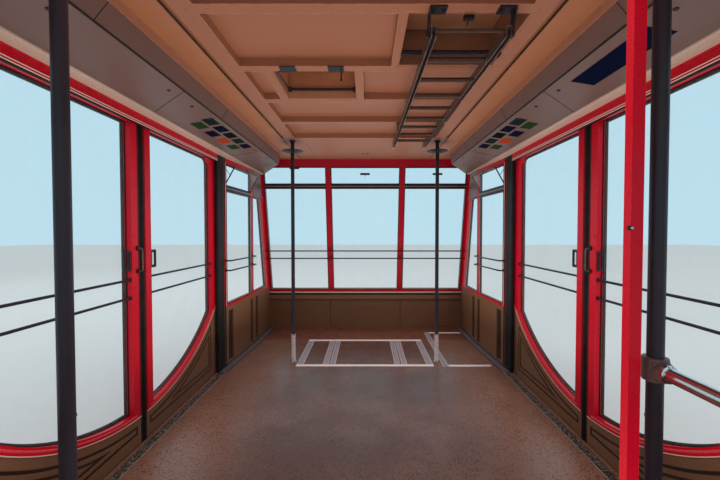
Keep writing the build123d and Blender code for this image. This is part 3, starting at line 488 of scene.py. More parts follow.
def noise(tree, vector, scale, detail=4.0, roughness=0.6):
    new = add_node(tree, "ShaderNodeTexNoise")
    feed(tree, new.inputs["Vector"], vector)
    feed(tree, new.inputs["Scale"], scale)
    new.inputs["Detail"].default_value = detail
    new.inputs["Roughness"].default_value = roughness
    return new.outputs[0]


def effect(name, inputs, result="Mask"):
    """An empty node group with its inputs, each a vector or a number, and one output."""
    tree = bpy.data.node_groups.new(name, "ShaderNodeTree")
    for label, value in inputs:
        kind = "NodeSocketVector" if value is None else "NodeSocketFloat"
        socket = tree.interface.new_socket(label, in_out="INPUT", socket_type=kind)
        if value is not None:
            socket.default_value = value
    tree.interface.new_socket(result, in_out="OUTPUT", socket_type="NodeSocketFloat")
    return tree, add_node(tree, "NodeGroupInput").outputs, add_node(tree, "NodeGroupOutput").inputs


def build_effects():
    tree, given, out = effect("fine grain", [("Vector", None), ("Scale", 200.0)], "Value")
    feed(tree, out[0], noise(tree, given["Vector"], given["Scale"], 5.0, 0.65))

    tree, given, out = effect("mottling", [("Vector", None), ("Scale", 3.0), ("Softness", 0.2)])
    cloud = noise(tree, given["Vector"], given["Scale"], 6.0, 0.7)
    low = calc(tree, "SUBTRACT", 0.5, given["Softness"])
    high = calc(tree, "ADD", 0.5, given["Softness"])
    feed(tree, out[0], spread(tree, cloud, low, high))

    tree, given, out = effect("worn and lit edges", [("Vector", None), ("Radius", 0.003), ("Scale", 30.0)])
    rounded = add_node(tree, "ShaderNodeBevel", samples=4)
    feed(tree, rounded.inputs["Radius"], given["Radius"])
    surface = add_node(tree, "ShaderNodeNewGeometry")
    turn = add_node(tree, "ShaderNodeVectorMath", operation="DOT_PRODUCT")
    tree.links.new(rounded.outputs[0], turn.inputs[0])
    tree.links.new(surface.outputs["Normal"], turn.inputs[1])
    edge = spread(tree, turn.outputs["Value"], 0.995, 0.90)
    patches = spread(tree, noise(tree, given["Vector"], given["Scale"], 6.0, 0.75), 0.40, 0.62)
    feed(tree, out[0], calc(tree, "MULTIPLY", edge, patches))

    tree, given, out = effect("settled dust", [("Vector", None), ("Scale", 6.0)])
    surface = add_node(tree, "ShaderNodeNewGeometry")
    facing = add_node(tree, "ShaderNodeSeparateXYZ")
    tree.links.new(surface.outputs["Normal"], facing.inputs[0])
    upward = spread(tree, facing.outputs["Z"], 0.3, 1.0, 0.25, 1.0)
    cloud = spread(tree, noise(tree, given["Vector"], given["Scale"], 7.0, 0.72), 0.38, 0.72)
    feed(tree, out[0], calc(tree, "MULTIPLY", upward, cloud))

    tree, given, out = effect("flecks", [("Vector", None), ("Scale", 300.0), ("Share", 0.2)])
    cells = add_node(tree, "ShaderNodeTexVoronoi")
    feed(tree, cells.inputs["Vector"], given["Vector"])
    feed(tree, cells.inputs["Scale"], given["Scale"])
    split = add_node(tree, "ShaderNodeSeparateColor")
    tree.links.new(cells.outputs["Color"], split.inputs[0])
    chosen = calc(tree, "LESS_THAN", split.outputs[0], given["Share"])
    near = calc(tree, "LESS_THAN", cells.outputs["Distance"], 0.42)
    feed(tree, out[0], calc(tree, "MULTIPLY", chosen, near))

    tree, given, out = effect("punched holes", [("Vector", None), ("Pitch", 0.012), ("Radius", 0.3)])
    cell = add_node(tree, "ShaderNodeVectorMath", operation="SCALE")
    feed(tree, cell.inputs[0], given["Vector"])
    feed(tree, cell.inputs["Scale"], calc(tree, "DIVIDE", 1.0, given["Pitch"]))
    part = add_node(tree, "ShaderNodeVectorMath", operation="FRACTION")
    tree.links.new(cell.outputs[0], part.inputs[0])
    axes = add_node(tree, "ShaderNodeSeparateXYZ")
    tree.links.new(part.outputs[0], axes.inputs[0])
    squares = []
    for axis in ("X", "Y"):
        off = calc(tree, "SUBTRACT", axes.outputs[axis], 0.5)
        squares.append(calc(tree, "MULTIPLY", off, off))
    away = calc(tree, "SQRT", calc(tree, "ADD", *squares))
    feed(tree, out[0], calc(tree, "LESS_THAN", away, given["Radius"]))

    tree, given, out = effect("brushing", [("Vector", None), ("Scale", 40.0)], "Value")
    stretch = add_node(tree, "ShaderNodeMapping")
    stretch.inputs["Scale"].default_value = (1.0, 1.0, 22.0)
    feed(tree, stretch.inputs["Vector"], given["Vector"])
    feed(tree, out[0], noise(tree, stretch.outputs[0], given["Scale"], 3.0, 0.5))


def use(tree, name, **inputs):
    group = add_node(tree, "ShaderNodeGroup", node_tree=bpy.data.node_groups[name])
    for label, value in inputs.items():
        feed(tree, group.inputs[label], value)
    return group.outputs[0]


def lighter(colour, share):
    return tuple(min(part * share, 1.0) for part in colour)


def make_finish(name, colour, second=None, rough=0.45, metal=0.0, grain=250.0, relief=0.15, patches=2.5,
                shade=0.5, worn_and_lit_colour=None, worn_and_lit_share=0.0, worn_and_lit_width=0.003, dust=0.2, dusty=(0.36, 0.30, 0.25),
                flecks=None, gloss=0.5, brushed=False):
    """One painted, rubber or metal surface, built from the shared effects."""
    material = bpy.data.materials.new(name + " finish")
    material.use_nodes = True
    tree = material.node_tree
    shader = tree.nodes["Principled BSDF"]
    place = add_node(tree, "ShaderNodeTexCoord").outputs["Object"]
    colour = tuple(colour)
    second = second or lighter(colour, 0.78)
    mask = use(tree, "mottling", Vector=place, Scale=patches, Softness=0.22)
    paint_colour = blend(tree, calc(tree, "MULTIPLY", mask, shade), colour, second)
    fine = use(tree, "brushing" if brushed else "fine grain", Vector=place, Scale=grain)
    paint_colour = blend(tree, spread(tree, fine, 0.3, 0.7, 0.0, 0.22), paint_colour, lighter(colour, 1.25))
    if flecks:
        for tint, share, scale in flecks:
            dots = use(tree, "flecks", Vector=place, Scale=scale, Share=share)
            paint_colour = blend(tree, dots, paint_colour, tint)
    dust_mask = use(tree, "settled dust", Vector=place, Scale=patches * 2.2)
    dust_share = calc(tree, "MULTIPLY", dust_mask, dust)
    paint_colour = blend(tree, dust_share, paint_colour, dusty)
    polish = spread(tree, fine, 0.25, 0.75, rough - 0.07, rough + 0.09)
    polish = calc(tree, "ADD", polish, calc(tree, "MULTIPLY", dust_share, 0.4), clamp=True)
    # The pale edge colour is painted highlight along the edges on the ceiling's ribs and on the ladders, and
    # wear on the other finishes.
    if worn_and_lit_share:
        worn_and_lit_mask = calc(tree, "MULTIPLY", use(tree, "worn and lit edges", Vector=place, Radius=worn_and_lit_width, Scale=28.0),
                    worn_and_lit_share)
        paint_colour = blend(tree, worn_and_lit_mask, paint_colour, worn_and_lit_colour or lighter(colour, 1.8))
    feed(tree, shader.inputs["Base Color"], paint_colour)
    feed(tree, shader.inputs["Roughness"], polish)
    shader.inputs["Metallic"].default_value = metal
    shader.inputs["Specular IOR Level"].default_value = gloss
    bump = add_node(tree, "ShaderNodeBump")
    bump.inputs["Strength"].default_value = relief
    bump.inputs["Distance"].default_value = 0.0008
    feed(tree, bump.inputs["Height"], fine)
    tree.links.new(bump.outputs[0], shader.inputs["Normal"])
    return material


def make_glass(colour):
    """Window glass seen straight through, with a little tint, smears and a stronger sheen at a slant."""
    material = bpy.data.materials.new("pane finish")
    material.use_nodes = True
    tree = material.node_tree
    shader = tree.nodes["Principled BSDF"]
    place = add_node(tree, "ShaderNodeTexCoord").outputs["Object"]
    smears = use(tree, "mottling", Vector=place, Scale=4.0, Softness=0.18)
    feed(tree, shader.inputs["Base Color"], blend(tree, smears, tuple(colour), lighter(colour, 1.04)))
    feed(tree, shader.inputs["Roughness"], spread(tree, smears, 0.0, 1.0, 0.01, 0.04))
    shader.inputs["Metallic"].default_value = 0.0
    shader.inputs["Transmission Weight"].default_value = 0.0
    slant = add_node(tree, "ShaderNodeFresnel")
    slant.inputs["IOR"].default_value = 1.35
    body = calc(tree, "MULTIPLY_ADD", smears, 0.02)
    body.node.inputs[2].default_value = 0.02
    front = calc(tree, "SUBTRACT", 1.0, add_node(tree, "ShaderNodeNewGeometry").outputs["Backfacing"])
    sheen = calc(tree, "MULTIPLY", calc(tree, "MULTIPLY", slant.outputs[0], 0.5), front)
    feed(tree, shader.inputs["Alpha"], calc(tree, "ADD", body, sheen, clamp=True))
    return material


def place_axes(tree):
    """The object coordinates, as a whole and one by one."""
    place = add_node(tree, "ShaderNodeTexCoord").outputs["Object"]
    axes = add_node(tree, "ShaderNodeSeparateXYZ")
    tree.links.new(place, axes.inputs[0])
    return place, axes.outputs


def repaint(material, share, colour, kind="MIX"):
    """Lay a second colour over a finish where the mask is set."""
    tree = material.node_tree
    socket = tree.nodes["Principled BSDF"].inputs["Base Color"]
    feed(tree, socket, blend(tree, share, socket.links[0].from_socket, colour, kind))


def paint_outside(material, colour):
    """The outer faces of the walls, doors and floor take the frames' colour."""
    tree = material.node_tree
    place, axes = place_axes(tree)
    across = calc(tree, "ABSOLUTE", axes["X"])
    along = calc(tree, "ABSOLUTE", axes["Y"])
    wall = add_node(tree, "ShaderNodeMapRange")
    for socket, number in zip(wall.inputs,
                              (along, POST_END, TAPER_END, WALL_IN + PAINT_DEPTH, CORNER_IN + PAINT_DEPTH)):
        feed(tree, socket, number)
    beyond = calc(tree, "MAXIMUM", calc(tree, "GREATER_THAN", across, wall.outputs[0]),
                  calc(tree, "GREATER_THAN", along, END_PAINT))
    level = add_node(tree, "ShaderNodeVectorMath", operation="MULTIPLY")
    tree.links.new(place, level.inputs[0])
    level.inputs[1].default_value = (1, 1, 0)
    facing = add_node(tree, "ShaderNodeVectorMath", operation="DOT_PRODUCT")
    tree.links.new(level.outputs[0], facing.inputs[0])
    tree.links.new(add_node(tree, "ShaderNodeNewGeometry").outputs["Normal"], facing.inputs[1])
    outward = spread(tree, facing.outputs["Value"], 0.5, 0.9)
    repaint(material, calc(tree, "MULTIPLY", beyond, outward), tuple(colour))


def shade_grooves(material):
    """Paints shade into the routed grooves of the door panels, so that they look nearly black."""
    tree = material.node_tree
    across = calc(tree, "ABSOLUTE", place_axes(tree)[1]["X"])
    repaint(material, between(tree, across, *GROOVE_DEPTHS), (0.020, 0.011, 0.008))


def painted_sheen_lane(material):
    """Painted sheen: the floor is greyer down its middle, standing in for the reflection of the end windows,
    and keeps its warm brown along the walls; it is also darker and redder towards the end walls.
    """
    tree = material.node_tree
    place, axes = place_axes(tree)
    across = spread(tree, calc(tree, "ABSOLUTE", axes["X"]), *LANE_SIDES)
    along = spread(tree, calc(tree, "ABSOLUTE", axes["Y"]), *LANE_ENDS)
    cloud = spread(tree, noise(tree, place, 1.4, 5.0, 0.65), 0.30, 0.55, 0.55, 1.0)
    lane = calc(tree, "MULTIPLY", calc(tree, "MULTIPLY", across, along), cloud)
    repaint(material, lane, (0.49, 0.42, 0.43), "MULTIPLY")
    ends = spread(tree, calc(tree, "ABSOLUTE", axes["Y"]), *reversed(LANE_ENDS))
    repaint(material, ends, (0.76, 0.52, 0.47), "MULTIPLY")


def pale_rim(material, colour):
    """The coamings' lowest rim, level with the ribs, takes the ceiling's colour."""
    tree = material.node_tree
    rim = calc(tree, "LESS_THAN", place_axes(tree)[1]["Z"], up(COAMING_RIM))
    repaint(material, rim, tuple(colour))


def dark_sides(material):
    """The kick strips along the walls are darker than the hatch's strips."""
    tree = material.node_tree
    across = calc(tree, "ABSOLUTE", place_axes(tree)[1]["X"])
    repaint(material, between(tree, across, *KICK_STRIPS), (0.42, 0.42, 0.46), "MULTIPLY")


def punch(material, edge):
    """Rows of small holes painted near-black as the shade inside them, with painted glints on their rims."""
    tree = material.node_tree
    shader = tree.nodes["Principled BSDF"]
    place = add_node(tree, "ShaderNodeTexCoord").outputs["Object"]
    holes, rims = [use(tree, "punched holes", Vector=place, Pitch=HOLE_PITCH, Radius=radius)
                   for radius in (0.30, 0.42)]
    sparkle = spread(tree, use(tree, "fine grain", Vector=place, Scale=60.0), 0.46, 0.58)
    rim = calc(tree, "MULTIPLY", calc(tree, "SUBTRACT", rims, holes, clamp=True), sparkle)
    painted = shader.inputs["Base Color"].links[0].from_socket
    coloured = blend(tree, rim, painted, edge)
    feed(tree, shader.inputs["Base Color"], blend(tree, holes, coloured, (0.002, 0.002, 0.002)))
    dent = add_node(tree, "ShaderNodeBump", invert=True)
    dent.inputs["Strength"].default_value = 0.6
    dent.inputs["Distance"].default_value = 0.002
    feed(tree, dent.inputs["Height"], holes)
    tree.links.new(dent.outputs[0], shader.inputs["Normal"])


class CABIN_OT_finishes(bpy.types.Operator):
    """Build the shared effects and the finishes, and lay them on the solids"""
    bl_idname = "cabin.finishes"
    bl_label = "Finishes"

    def execute(self, context):
        tint = context.scene.cabin_colours
        build_effects()
        make_finish("floor_rubber", tint.floor, (0.185, 0.095, 0.068), 0.27, grain=150.0, relief=0.5,
                    patches=1.3, shade=0.6, dust=0.20, dusty=(0.26, 0.145, 0.10), gloss=0.5,
                    flecks=(((0.34, 0.18, 0.13), 0.30, 115.0), ((0.035, 0.018, 0.014), 0.35, 95.0)))
        make_finish("strip_metal", tint.strips, (0.33, 0.30, 0.35), 0.42, metal=0.2, grain=180.0, relief=0.2,
                    worn_and_lit_colour=(0.75, 0.68, 0.62), worn_and_lit_share=0.8, worn_and_lit_width=0.003, dust=0.25)
        # The pale rim colour paints glints on the threshold's holes.
        punch(make_finish("grate_black", tint.grate, rough=0.5, dust=0.1, relief=0.1), (0.85, 0.80, 0.76))
        make_finish("frame_grey", tint.structure, rough=0.5, worn_and_lit_colour=(0.30, 0.28, 0.26), worn_and_lit_share=0.5,
                    worn_and_lit_width=0.006, dust=0.3)
        make_finish("skirt_grey", tint.skirt, rough=0.5, worn_and_lit_colour=(0.20, 0.19, 0.18), worn_and_lit_share=0.5, worn_and_lit_width=0.006,
                    dust=0.45)
        make_finish("lining_brown", tint.lining, (0.145, 0.072, 0.040), 0.40, grain=300.0, relief=0.18,
                    worn_and_lit_colour=(0.24, 0.19, 0.14), worn_and_lit_share=0.55, dust=0.15)
        make_finish("frame_red", tint.red, (0.42, 0.002, 0.014), 0.30, grain=260.0, relief=0.07, shade=0.5,
                    patches=1.6, worn_and_lit_colour=(0.80, 0.12, 0.11), worn_and_lit_share=0.45, worn_and_lit_width=0.003, dust=0.0, gloss=0.22)
        make_finish("bar_black", tint.black, rough=0.36, worn_and_lit_colour=(0.11, 0.10, 0.10), worn_and_lit_share=0.4, dust=0.06,
                    relief=0.08, gloss=0.4)
        make_finish("rubber_black", tint.rubber, rough=0.62, grain=500.0, relief=0.3, dust=0.14, gloss=0.25)
        make_finish("housing_grey", tint.housing, (0.140, 0.086, 0.078), 0.40, grain=300.0, relief=0.10,
                    patches=1.4, worn_and_lit_colour=(0.45, 0.36, 0.33), worn_and_lit_share=0.4, dust=0.05, gloss=0.3)
        make_finish("trim_cream", tint.cream, rough=0.24, patches=2.0, shade=0.4, dust=0.15, relief=0.08)
        # Its pale edge colour paints highlights along the rib edges.
        make_finish("ceiling_beige", tint.ceiling, (0.31, 0.127, 0.073), 0.46, grain=220.0, relief=0.2,
                    patches=1.1, shade=0.6, worn_and_lit_colour=(0.62, 0.34, 0.22), worn_and_lit_share=0.9, worn_and_lit_width=0.009, dust=0.05)
        make_finish("roof_pale", tint.roof, (0.46, 0.47, 0.48), 0.42, grain=200.0, relief=0.12, patches=1.5,
                    dust=0.40, dusty=(0.33, 0.31, 0.28), worn_and_lit_colour=(0.30, 0.30, 0.30), worn_and_lit_share=0.3)
        make_finish("bright_steel", tint.steel, (0.60, 0.59, 0.61), 0.16, metal=1.0, grain=30.0, relief=0.03,
                    dust=0.0, brushed=True)
        # Its pale edge colour paints highlights along the ladder's edges.
        make_finish("ladder_metal", tint.ladder, rough=0.38, metal=0.55, grain=40.0, relief=0.12,
                    worn_and_lit_colour=(0.80, 0.72, 0.68), worn_and_lit_share=0.8, brushed=True, dust=0.1)
        make_finish("hanger_grey", tint.hanger, (0.20, 0.22, 0.235), 0.42, grain=180.0, relief=0.16,
                    worn_and_lit_colour=(0.42, 0.41, 0.39), worn_and_lit_share=0.6, worn_and_lit_width=0.008, dust=0.25, patches=1.2)
        # A lighter, less metallic copy of the bright steel: the sleeves' white is painted reflection.
        make_finish("sleeve_sheen_white", lighter(tint.steel, 1.25), (0.82, 0.81, 0.83), 0.25, metal=0.3,
                    grain=30.0, relief=0.05, dust=0.0, brushed=True)
        make_finish("vent_brown", (0.55, 0.26, 0.14), (0.34, 0.16, 0.085), 0.5, patches=5.0, shade=0.8,
                    dust=0.0)
        make_finish("band_brown", (0.43, 0.178, 0.088), (0.33, 0.134, 0.064), 0.5, grain=90.0, patches=3.0,
                    shade=0.7, dust=0.0, brushed=True)
        # A darker copy of the ladder's colour for the rungs and top bar: painted shade.
        make_finish("rung_shade", (0.060, 0.032, 0.024), rough=0.45, grain=60.0, worn_and_lit_colour=(0.45, 0.34, 0.28),
                    worn_and_lit_share=0.6, dust=0.0)
        make_finish("hatch_brown", (0.30, 0.135, 0.075), (0.20, 0.085, 0.045), 0.5, patches=4.0, shade=0.8,
                    dust=0.1)
        # Near-black brown: the painted shade in the wall channels, and the thin lines along the ceiling
        # bands.
        make_finish("channel_brown", (0.030, 0.016, 0.011), rough=0.5, dust=0.1)
        # A darker copy of the frames' red for the end frames: painted shade, as they stand against the light.
        make_finish("frame_red_shaded", (0.40, 0.004, 0.020), (0.30, 0.002, 0.016), 0.30, grain=260.0,
                    relief=0.07, worn_and_lit_colour=(0.70, 0.10, 0.10), worn_and_lit_share=0.4, dust=0.0, gloss=0.22)
        make_finish("strip_bright", (0.93, 0.92, 0.98), (0.80, 0.79, 0.84), 0.4, grain=60.0, brushed=True,
                    dust=0.2)
        make_finish("edge_line", (0.36, 0.26, 0.22), rough=0.45, dust=0.2)
        # A light red that paints the highlight along the door arcs.
        make_finish("trim_red_highlight", (0.80, 0.060, 0.085), rough=0.22, dust=0.0, relief=0.03, gloss=0.7)
        make_finish("casting_brown", (0.085, 0.045, 0.048), rough=0.4, dust=0.0, relief=0.1)
        # Pale cream for the beads; on the door arcs, door headers and side window stiles these beads are
        # painted highlight lines.
        make_finish("bead_and_highlight_cream", (0.80, 0.62, 0.58), rough=0.35, dust=0.03, relief=0.05)
        for name, colour in (("teal", (0.006, 0.020, 0.024)), ("navy", (0.002, 0.005, 0.026)),
                             ("green", (0.016, 0.050, 0.012)), ("orange", (0.42, 0.050, 0.014)),
                             ("black", (0.004, 0.004, 0.005))):
            make_finish("tile_" + name, colour, rough=0.6, dust=0.0, gloss=0.02, relief=0.05)
        make_glass(tint.glass)
        paint_outside(finish("lining_brown"), tint.red)
        shade_grooves(finish("lining_brown"))
        # The floor's greyer middle lane is painted sheen.
        painted_sheen_lane(finish("floor_rubber"))
        paint_outside(finish("floor_rubber"), tint.red)
        dark_sides(finish("strip_metal"))
        pale_rim(make_finish("coaming_grey", tint.structure, rough=0.5, dust=0.2), tint.ceiling)
        # The end frames take the darker red of painted shade.
        coats = {"end_frames": "frame_red_shaded", "hatch_coamings": "coaming_grey",
                 "pole_sleeves": "sleeve_sheen_white"}
        for part in frame["record"]["subparts"]:
            solid = frame["nodes"][part["node"]]
            slot = coats.get(part["node"], part["material_slot"])
            solid.data.materials.clear()
            solid.data.materials.append(finish(slot))
        return {"FINISHED"}


class CABIN_OT_ceiling(bpy.types.Operator):
    """Fit the hatches' gear and liners, the latches, coloured bands, coves and the screws of the ribs"""
    bl_idname = "cabin.ceiling"
    bl_label = "Ceiling fittings"

    def execute(self, context):
        sizes = context.scene.cabin_sizes
        gear = [block(at(x, -0.238, 2.4475), (0.098, 0.080, 0.005), 0.001) for x in (-0.466, -0.171)]
        gear.append(rod([at(-0.5705, *VENT_BAR), at(-0.0565, *VENT_BAR)], 0.009))
        gear.append(rod([at(-0.510, -0.215, 2.449), at(-0.552, -0.185, 2.462), at(-0.552, 0.222, 2.505)],
                        0.0065, 0.01))
        for knob in (-0.552, -0.075):
            gear.append(turned(at(knob, *VENT_BAR), RIGHT,
                               [(0, -0.012), (0.017, -0.010), (0.019, 0), (0.017, 0.010), (0, 0.012)], 16))
        gear.append(rod([at(-0.140, -0.222, 2.448), at(-0.140, -0.226, 2.392)], 0.0042))
        gear.append(turned(at(-0.140, -0.226, 2.388), ABOVE,
                           [(0, -0.008), (0.007, -0.004), (0.007, 0.004), (0, 0.008)], 12))
        dress(gear, "vent_hatch_gear", "bar_black")

        gear = [rod([at(0.2095, *HATCH_BAR), at(0.7705, *HATCH_BAR)], 0.012)]
        gear += [block(at(x, *HATCH_BAR), (0.008, 0.050, 0.050), 0.006, 2) for x in (0.214, 0.766)]
        gear.append(block(at(0.490, -0.768, 2.440), (0.050, 0.024, 0.022), 0.004, 2))
        gear.append(rod([at(0.490, -0.764, 2.432), at(0.490, -0.735, 2.426)], 0.004))
        dress(gear, "roof_hatch_gear", "bar_black")

        latch = join([block(at(0.030, 2.090, 2.447), (0.024, 0.016, 0.007), 0.002),
                      block(at(0.030, 2.090, 2.442), (0.006, 0.013, 0.005), 0.0015)])
        dress(all_corners(latch), "access_latches", "bar_black")

        for name, ((x0, x1), (y0, y1)) in (("vent", VENT_OPEN), ("hatch", HATCH_OPEN)):
            thin_sheets = [block(at(x, (y0 + y1) / 2, 2.555), (0.0025, y1 - y0, 0.200))
                      for x in (x0 + 0.001, x1 - 0.001)]
            thin_sheets += [block(at((x0 + x1) / 2, y, 2.555), (x1 - x0, 0.0025, 0.200))
                       for y in (y0 + 0.001, y1 - 0.001)]
            dress(thin_sheets, name + "_liners", "ceiling_beige", coat=name + "_brown")

        band = block(at(0.970, 0, 2.4490), (0.160, 4.860, 0.003), 0.001)
        dress(both_sides(band), "ceiling_bands", "ceiling_beige", coat="band_brown")
        line = rod([at(0.886, -2.430, 2.4495), at(0.886, 2.430, 2.4495)], 0.004, sides=1)
        dress(both_sides(line), "ceiling_band_lines", "ceiling_beige", coat="channel_brown")
        cove = slab([at(x, -2.03, h) for x, h in ((1.0545, 2.4495), (1.0650, 2.4140), (1.0630, 2.4135),
                                                  (1.0520, 2.4490))], (0, 4.06, 0))
        dress(both_sides(cove), "cove_edges", "ceiling_beige")

        places = [(x, y) for y in CROSS_RIBS for x in (-0.70, -0.42, -0.14, 0.14, 0.42, 0.70)]
        places += [(side * 0.8035, y * 0.27) for side in (1, -1) for y in range(-5, 6)]
        dome = head(at(0, 0, RIB_FACE), BELOW, sizes.screw_radius, 0.0025, 8)
        dress(repeat(dome, [shift(x, y) for x, y in places]), "rib_screws", "ceiling_beige",
              coat="band_brown")
        return {"FINISHED"}


class CABIN_OT_housings(bpy.types.Operator):
    """Fit the drive housings' locks, joints and plain plates, and the corners' fillers and gussets"""
    bl_idname = "cabin.housings"
    bl_label = "Drive housing fittings"

    lean = Vector((0.325, 0, -0.050)).normalized()

    def on_face(self, x, y, lift=0.0):
        """A point on the housings' lower face."""
        edge, low = HOUSING_EDGE
        return at(x, y, low - (x - edge) * HOUSING_SLOPE) + self.outward() * lift

    def outward(self):
        return Vector((self.lean.z, 0, -self.lean.x))

    def face_block(self, x, y, wide, deep, thick):
        tile = block((0, 0, 0), (wide, deep, thick), min(0.004, thick * 0.45), 1)
        basis = Matrix((self.lean, Vector((0, 1, 0)), self.outward())).transposed().to_4x4()
        return repeat(tile, [Matrix.Translation(self.on_face(x, y, thick / 2 - 0.0005)) @ basis])

    def execute(self, context):
        sizes = context.scene.cabin_sizes
        locks = [(1.167, -0.295), (1.164, -0.024), (1.159, 0.229), (1.188, -1.067), (1.146, 1.248),
                 (1.135, 1.652), (1.240, 1.990), (1.146, -1.652)]
        pieces = []
        for x, y in locks:
            pieces.append(turned(self.on_face(x, y), self.outward(),
                                 [(0.0105, -0.001), (0.0105, 0.003), (0.0085, 0.0045), (0.004, 0.0045),
                                  (0.0035, 0.0025), (0, 0.0025)], 16))
        dress(both_sides(pieces), "housing_locks", "bar_black")

        lines = [rod([at(1.0945, -2.03, 2.3075), at(1.0945, 2.03, 2.3075)], 0.0046, sides=1)]
        for start, stop in (((1.100, -0.252), (1.415, -0.030)), ((1.100, 1.320), (1.418, 1.345)),
                            ((1.100, -1.320), (1.418, -1.345))):
            lines.append(rod([self.on_face(*start), self.on_face(*stop)], 0.0018, sides=1))
        for y in (-0.966, 0.300, 1.320, -1.320):
            lines.append(rod([at(1.0935, y, 2.314), at(1.0565, y + 0.059, 2.446)], 0.0018, sides=1))
        dress(both_sides(lines), "housing_joints", "rubber_black")

        rows = {1.180: (("teal", 0.30), ("navy", 0.49), ("black", 0.68), ("teal", 0.87), ("navy", 1.06)),
                1.285: (("green", 0.34), ("navy", 0.57), ("orange", 0.80), ("green", 1.03))}
        for shade in sorted({name for row in rows.values() for name, y in row}):
            tiles = [self.face_block(x, y, 0.085, sizes.tile_wide, 0.002) for x, row in rows.items()
                     for name, y in row if name == shade]
            dress(both_sides(tiles), "housing_tile_" + shade + "s", "housing_grey", coat="tile_" + shade)
        plate = self.face_block(1.233, -0.685, 0.135, 0.530, 0.003)
        dress(plate, "housing_plate", "housing_grey", coat="tile_navy")

        corner = [(TAPER_END + 0.010, 1.905), (end_wall_at(1.905) - 0.075, 1.905),
                  (end_wall_at(2.244) - 0.075, 2.244), (TAPER_END + 0.010, 2.244)]
        for name, x, slot in (("corner_fillers", CORNER_IN - 0.004, "housing_grey"),
                              ("outer_corner_fillers", WALL_OUT - 0.045, "frame_red")):
            filler = slab([at(x, y, h) for y, h in corner], (0.003, 0, 0), 0.001)
            dress(all_corners(filler), name, slot)
        gusset = slab([at(CORNER_IN - 0.010, y, h)
                       for y, h in ((2.400, 1.950), (2.550, 1.950), (2.572, 1.850))], (0.006, 0, 0), 0.0015)
        dress(all_corners(gusset), "corner_gussets", "frame_red")
        return {"FINISHED"}


class CABIN_OT_ladder(bpy.types.Operator):
    """Build the ceiling ladder: open channels, round rungs, tips, top bar, hangers and catches"""
    bl_idname = "cabin.ladder"
    bl_label = "Ceiling ladder"

    pivot = at(0, -0.780, 2.358)
    stringers = (0.321, 0.663)
    slope = math.radians(1.4)
    rungs = 8

    def execute(self, context):
        sizes = context.scene.cabin_sizes
        pivot, stringers = self.pivot, self.stringers
        along = Vector((0, math.cos(self.slope), math.sin(self.slope)))
        rise = Vector((0, -along.z, along.y))
        section = [(-0.0125, 0.025), (0.0125, 0.025), (0.0125, -0.025), (0.0095, -0.025), (0.0095, 0.021),
                   (-0.0095, 0.021), (-0.0095, -0.025), (-0.0125, -0.025)]
        pieces, rungs = [], []
        for middle in stringers:
            corners = [pivot + Vector((middle + x, 0, 0)) + rise * z - along * 0.030 for x, z in section]
            pieces.append(slab(corners, along * 2.372, 0.0006))
        for rung in range(self.rungs):
            centre = pivot + along * (0.243 + rung * sizes.rung_pitch) - rise * 0.004
            rungs.append(rod([centre + Vector((stringers[0] + 0.008, 0, 0)),
                              centre + Vector((stringers[1] - 0.008, 0, 0))], sizes.rung_radius))
            for x, way in ((stringers[0] + 0.0125, 1), (stringers[1] - 0.0125, -1)):
                pieces.append(turned(centre + Vector((x, 0, 0)), (way, 0, 0),
                                     [(0.0135, 0), (0.0175, 0), (0.0165, 0.004), (0.0135, 0.005)], 16))
        dress(pieces, "ladder_frame", "ladder_metal", "ladder", ["ceiling_ladder"])
        dress(rungs, "ladder_rungs", "ladder_metal", "ladder", ["ceiling_ladder"], "rung_shade")
        tips = []
        for middle in stringers:
            tips.append(
                slab([pivot + Vector((middle + x, 0, 0)) + rise * z + along * 2.330
                      for x, z in ((-0.0140, -0.027), (0.0140, -0.027), (0.0140, 0.027), (-0.0140, 0.027))],
                     along * 0.020, 0.003))
        dress(tips, "ladder_tips", "ladder_metal", "ladder", coat="trim_cream")
        top_bar = rod([pivot + Vector((stringers[0] + 0.011, 0, 0.016)),
                       pivot + Vector((stringers[1] - 0.011, 0, 0.016))], 0.0085)
        dress(top_bar, "ladder_top_bar", "ladder_metal", "ladder", coat="rung_shade")
        self.hangers()
        catches = []
        for x in (stringers[0] - 0.0165, stringers[1] + 0.0165):
            catches.append(block(at(x, 0.845, 2.422), (0.005, 0.045, 0.060), 0.002, 2))
            catches.append(block(at(x, 0.845, 2.4475), (0.026, 0.060, 0.005), 0.0015))
            catches.append(head(at(x, 0.845, 2.408), (1 if x > 0.5 else -1, 0, 0), 0.008, 0.006, 12))
        dress(catches, "ladder_catches", "bar_black")
        return {"FINISHED"}

    def hangers(self):
        """The two brackets on the rib that carry the ladder's pivot pins."""
        pieces = []
        for middle, way in zip(self.stringers, (-1, 1)):
            face = middle + way * 0.0155
            axle = self.pivot + Vector((face, 0, 0))
            pieces.append(slab([at(face, y, h) for y, h in ((-0.847, 2.450), (-0.787, 2.450), (-0.757, 2.366),
                                                            (-0.762, 2.344), (-0.772, 2.337), (-0.788, 2.337),
                                                            (-0.798, 2.344), (-0.803, 2.366))],
                               (way * 0.008, 0, 0), 0.002))
            pieces.append(block(at(face - way * 0.032, -0.817, 2.446), (0.080, 0.060, 0.008), 0.002))
            pieces.append(turned(axle, (way, 0, 0),
                                 [(0, 0), (0.015, 0), (0.015, 0.012), (0.012, 0.017), (0, 0.018)], 18))
            pieces.append(
                rod([axle + Vector((way * 0.008, 0, 0)), axle - Vector((way * 0.028, 0, 0))], 0.0075))
            pieces += [hexagon(at(face - way * 0.032 + dx, -0.817, 2.442), BELOW, 0.007, 0.006)
                       for dx in (-0.025, 0.025)]
        dress(pieces, "ladder_hangers", "bar_black", replaces=["ladder_brackets"])


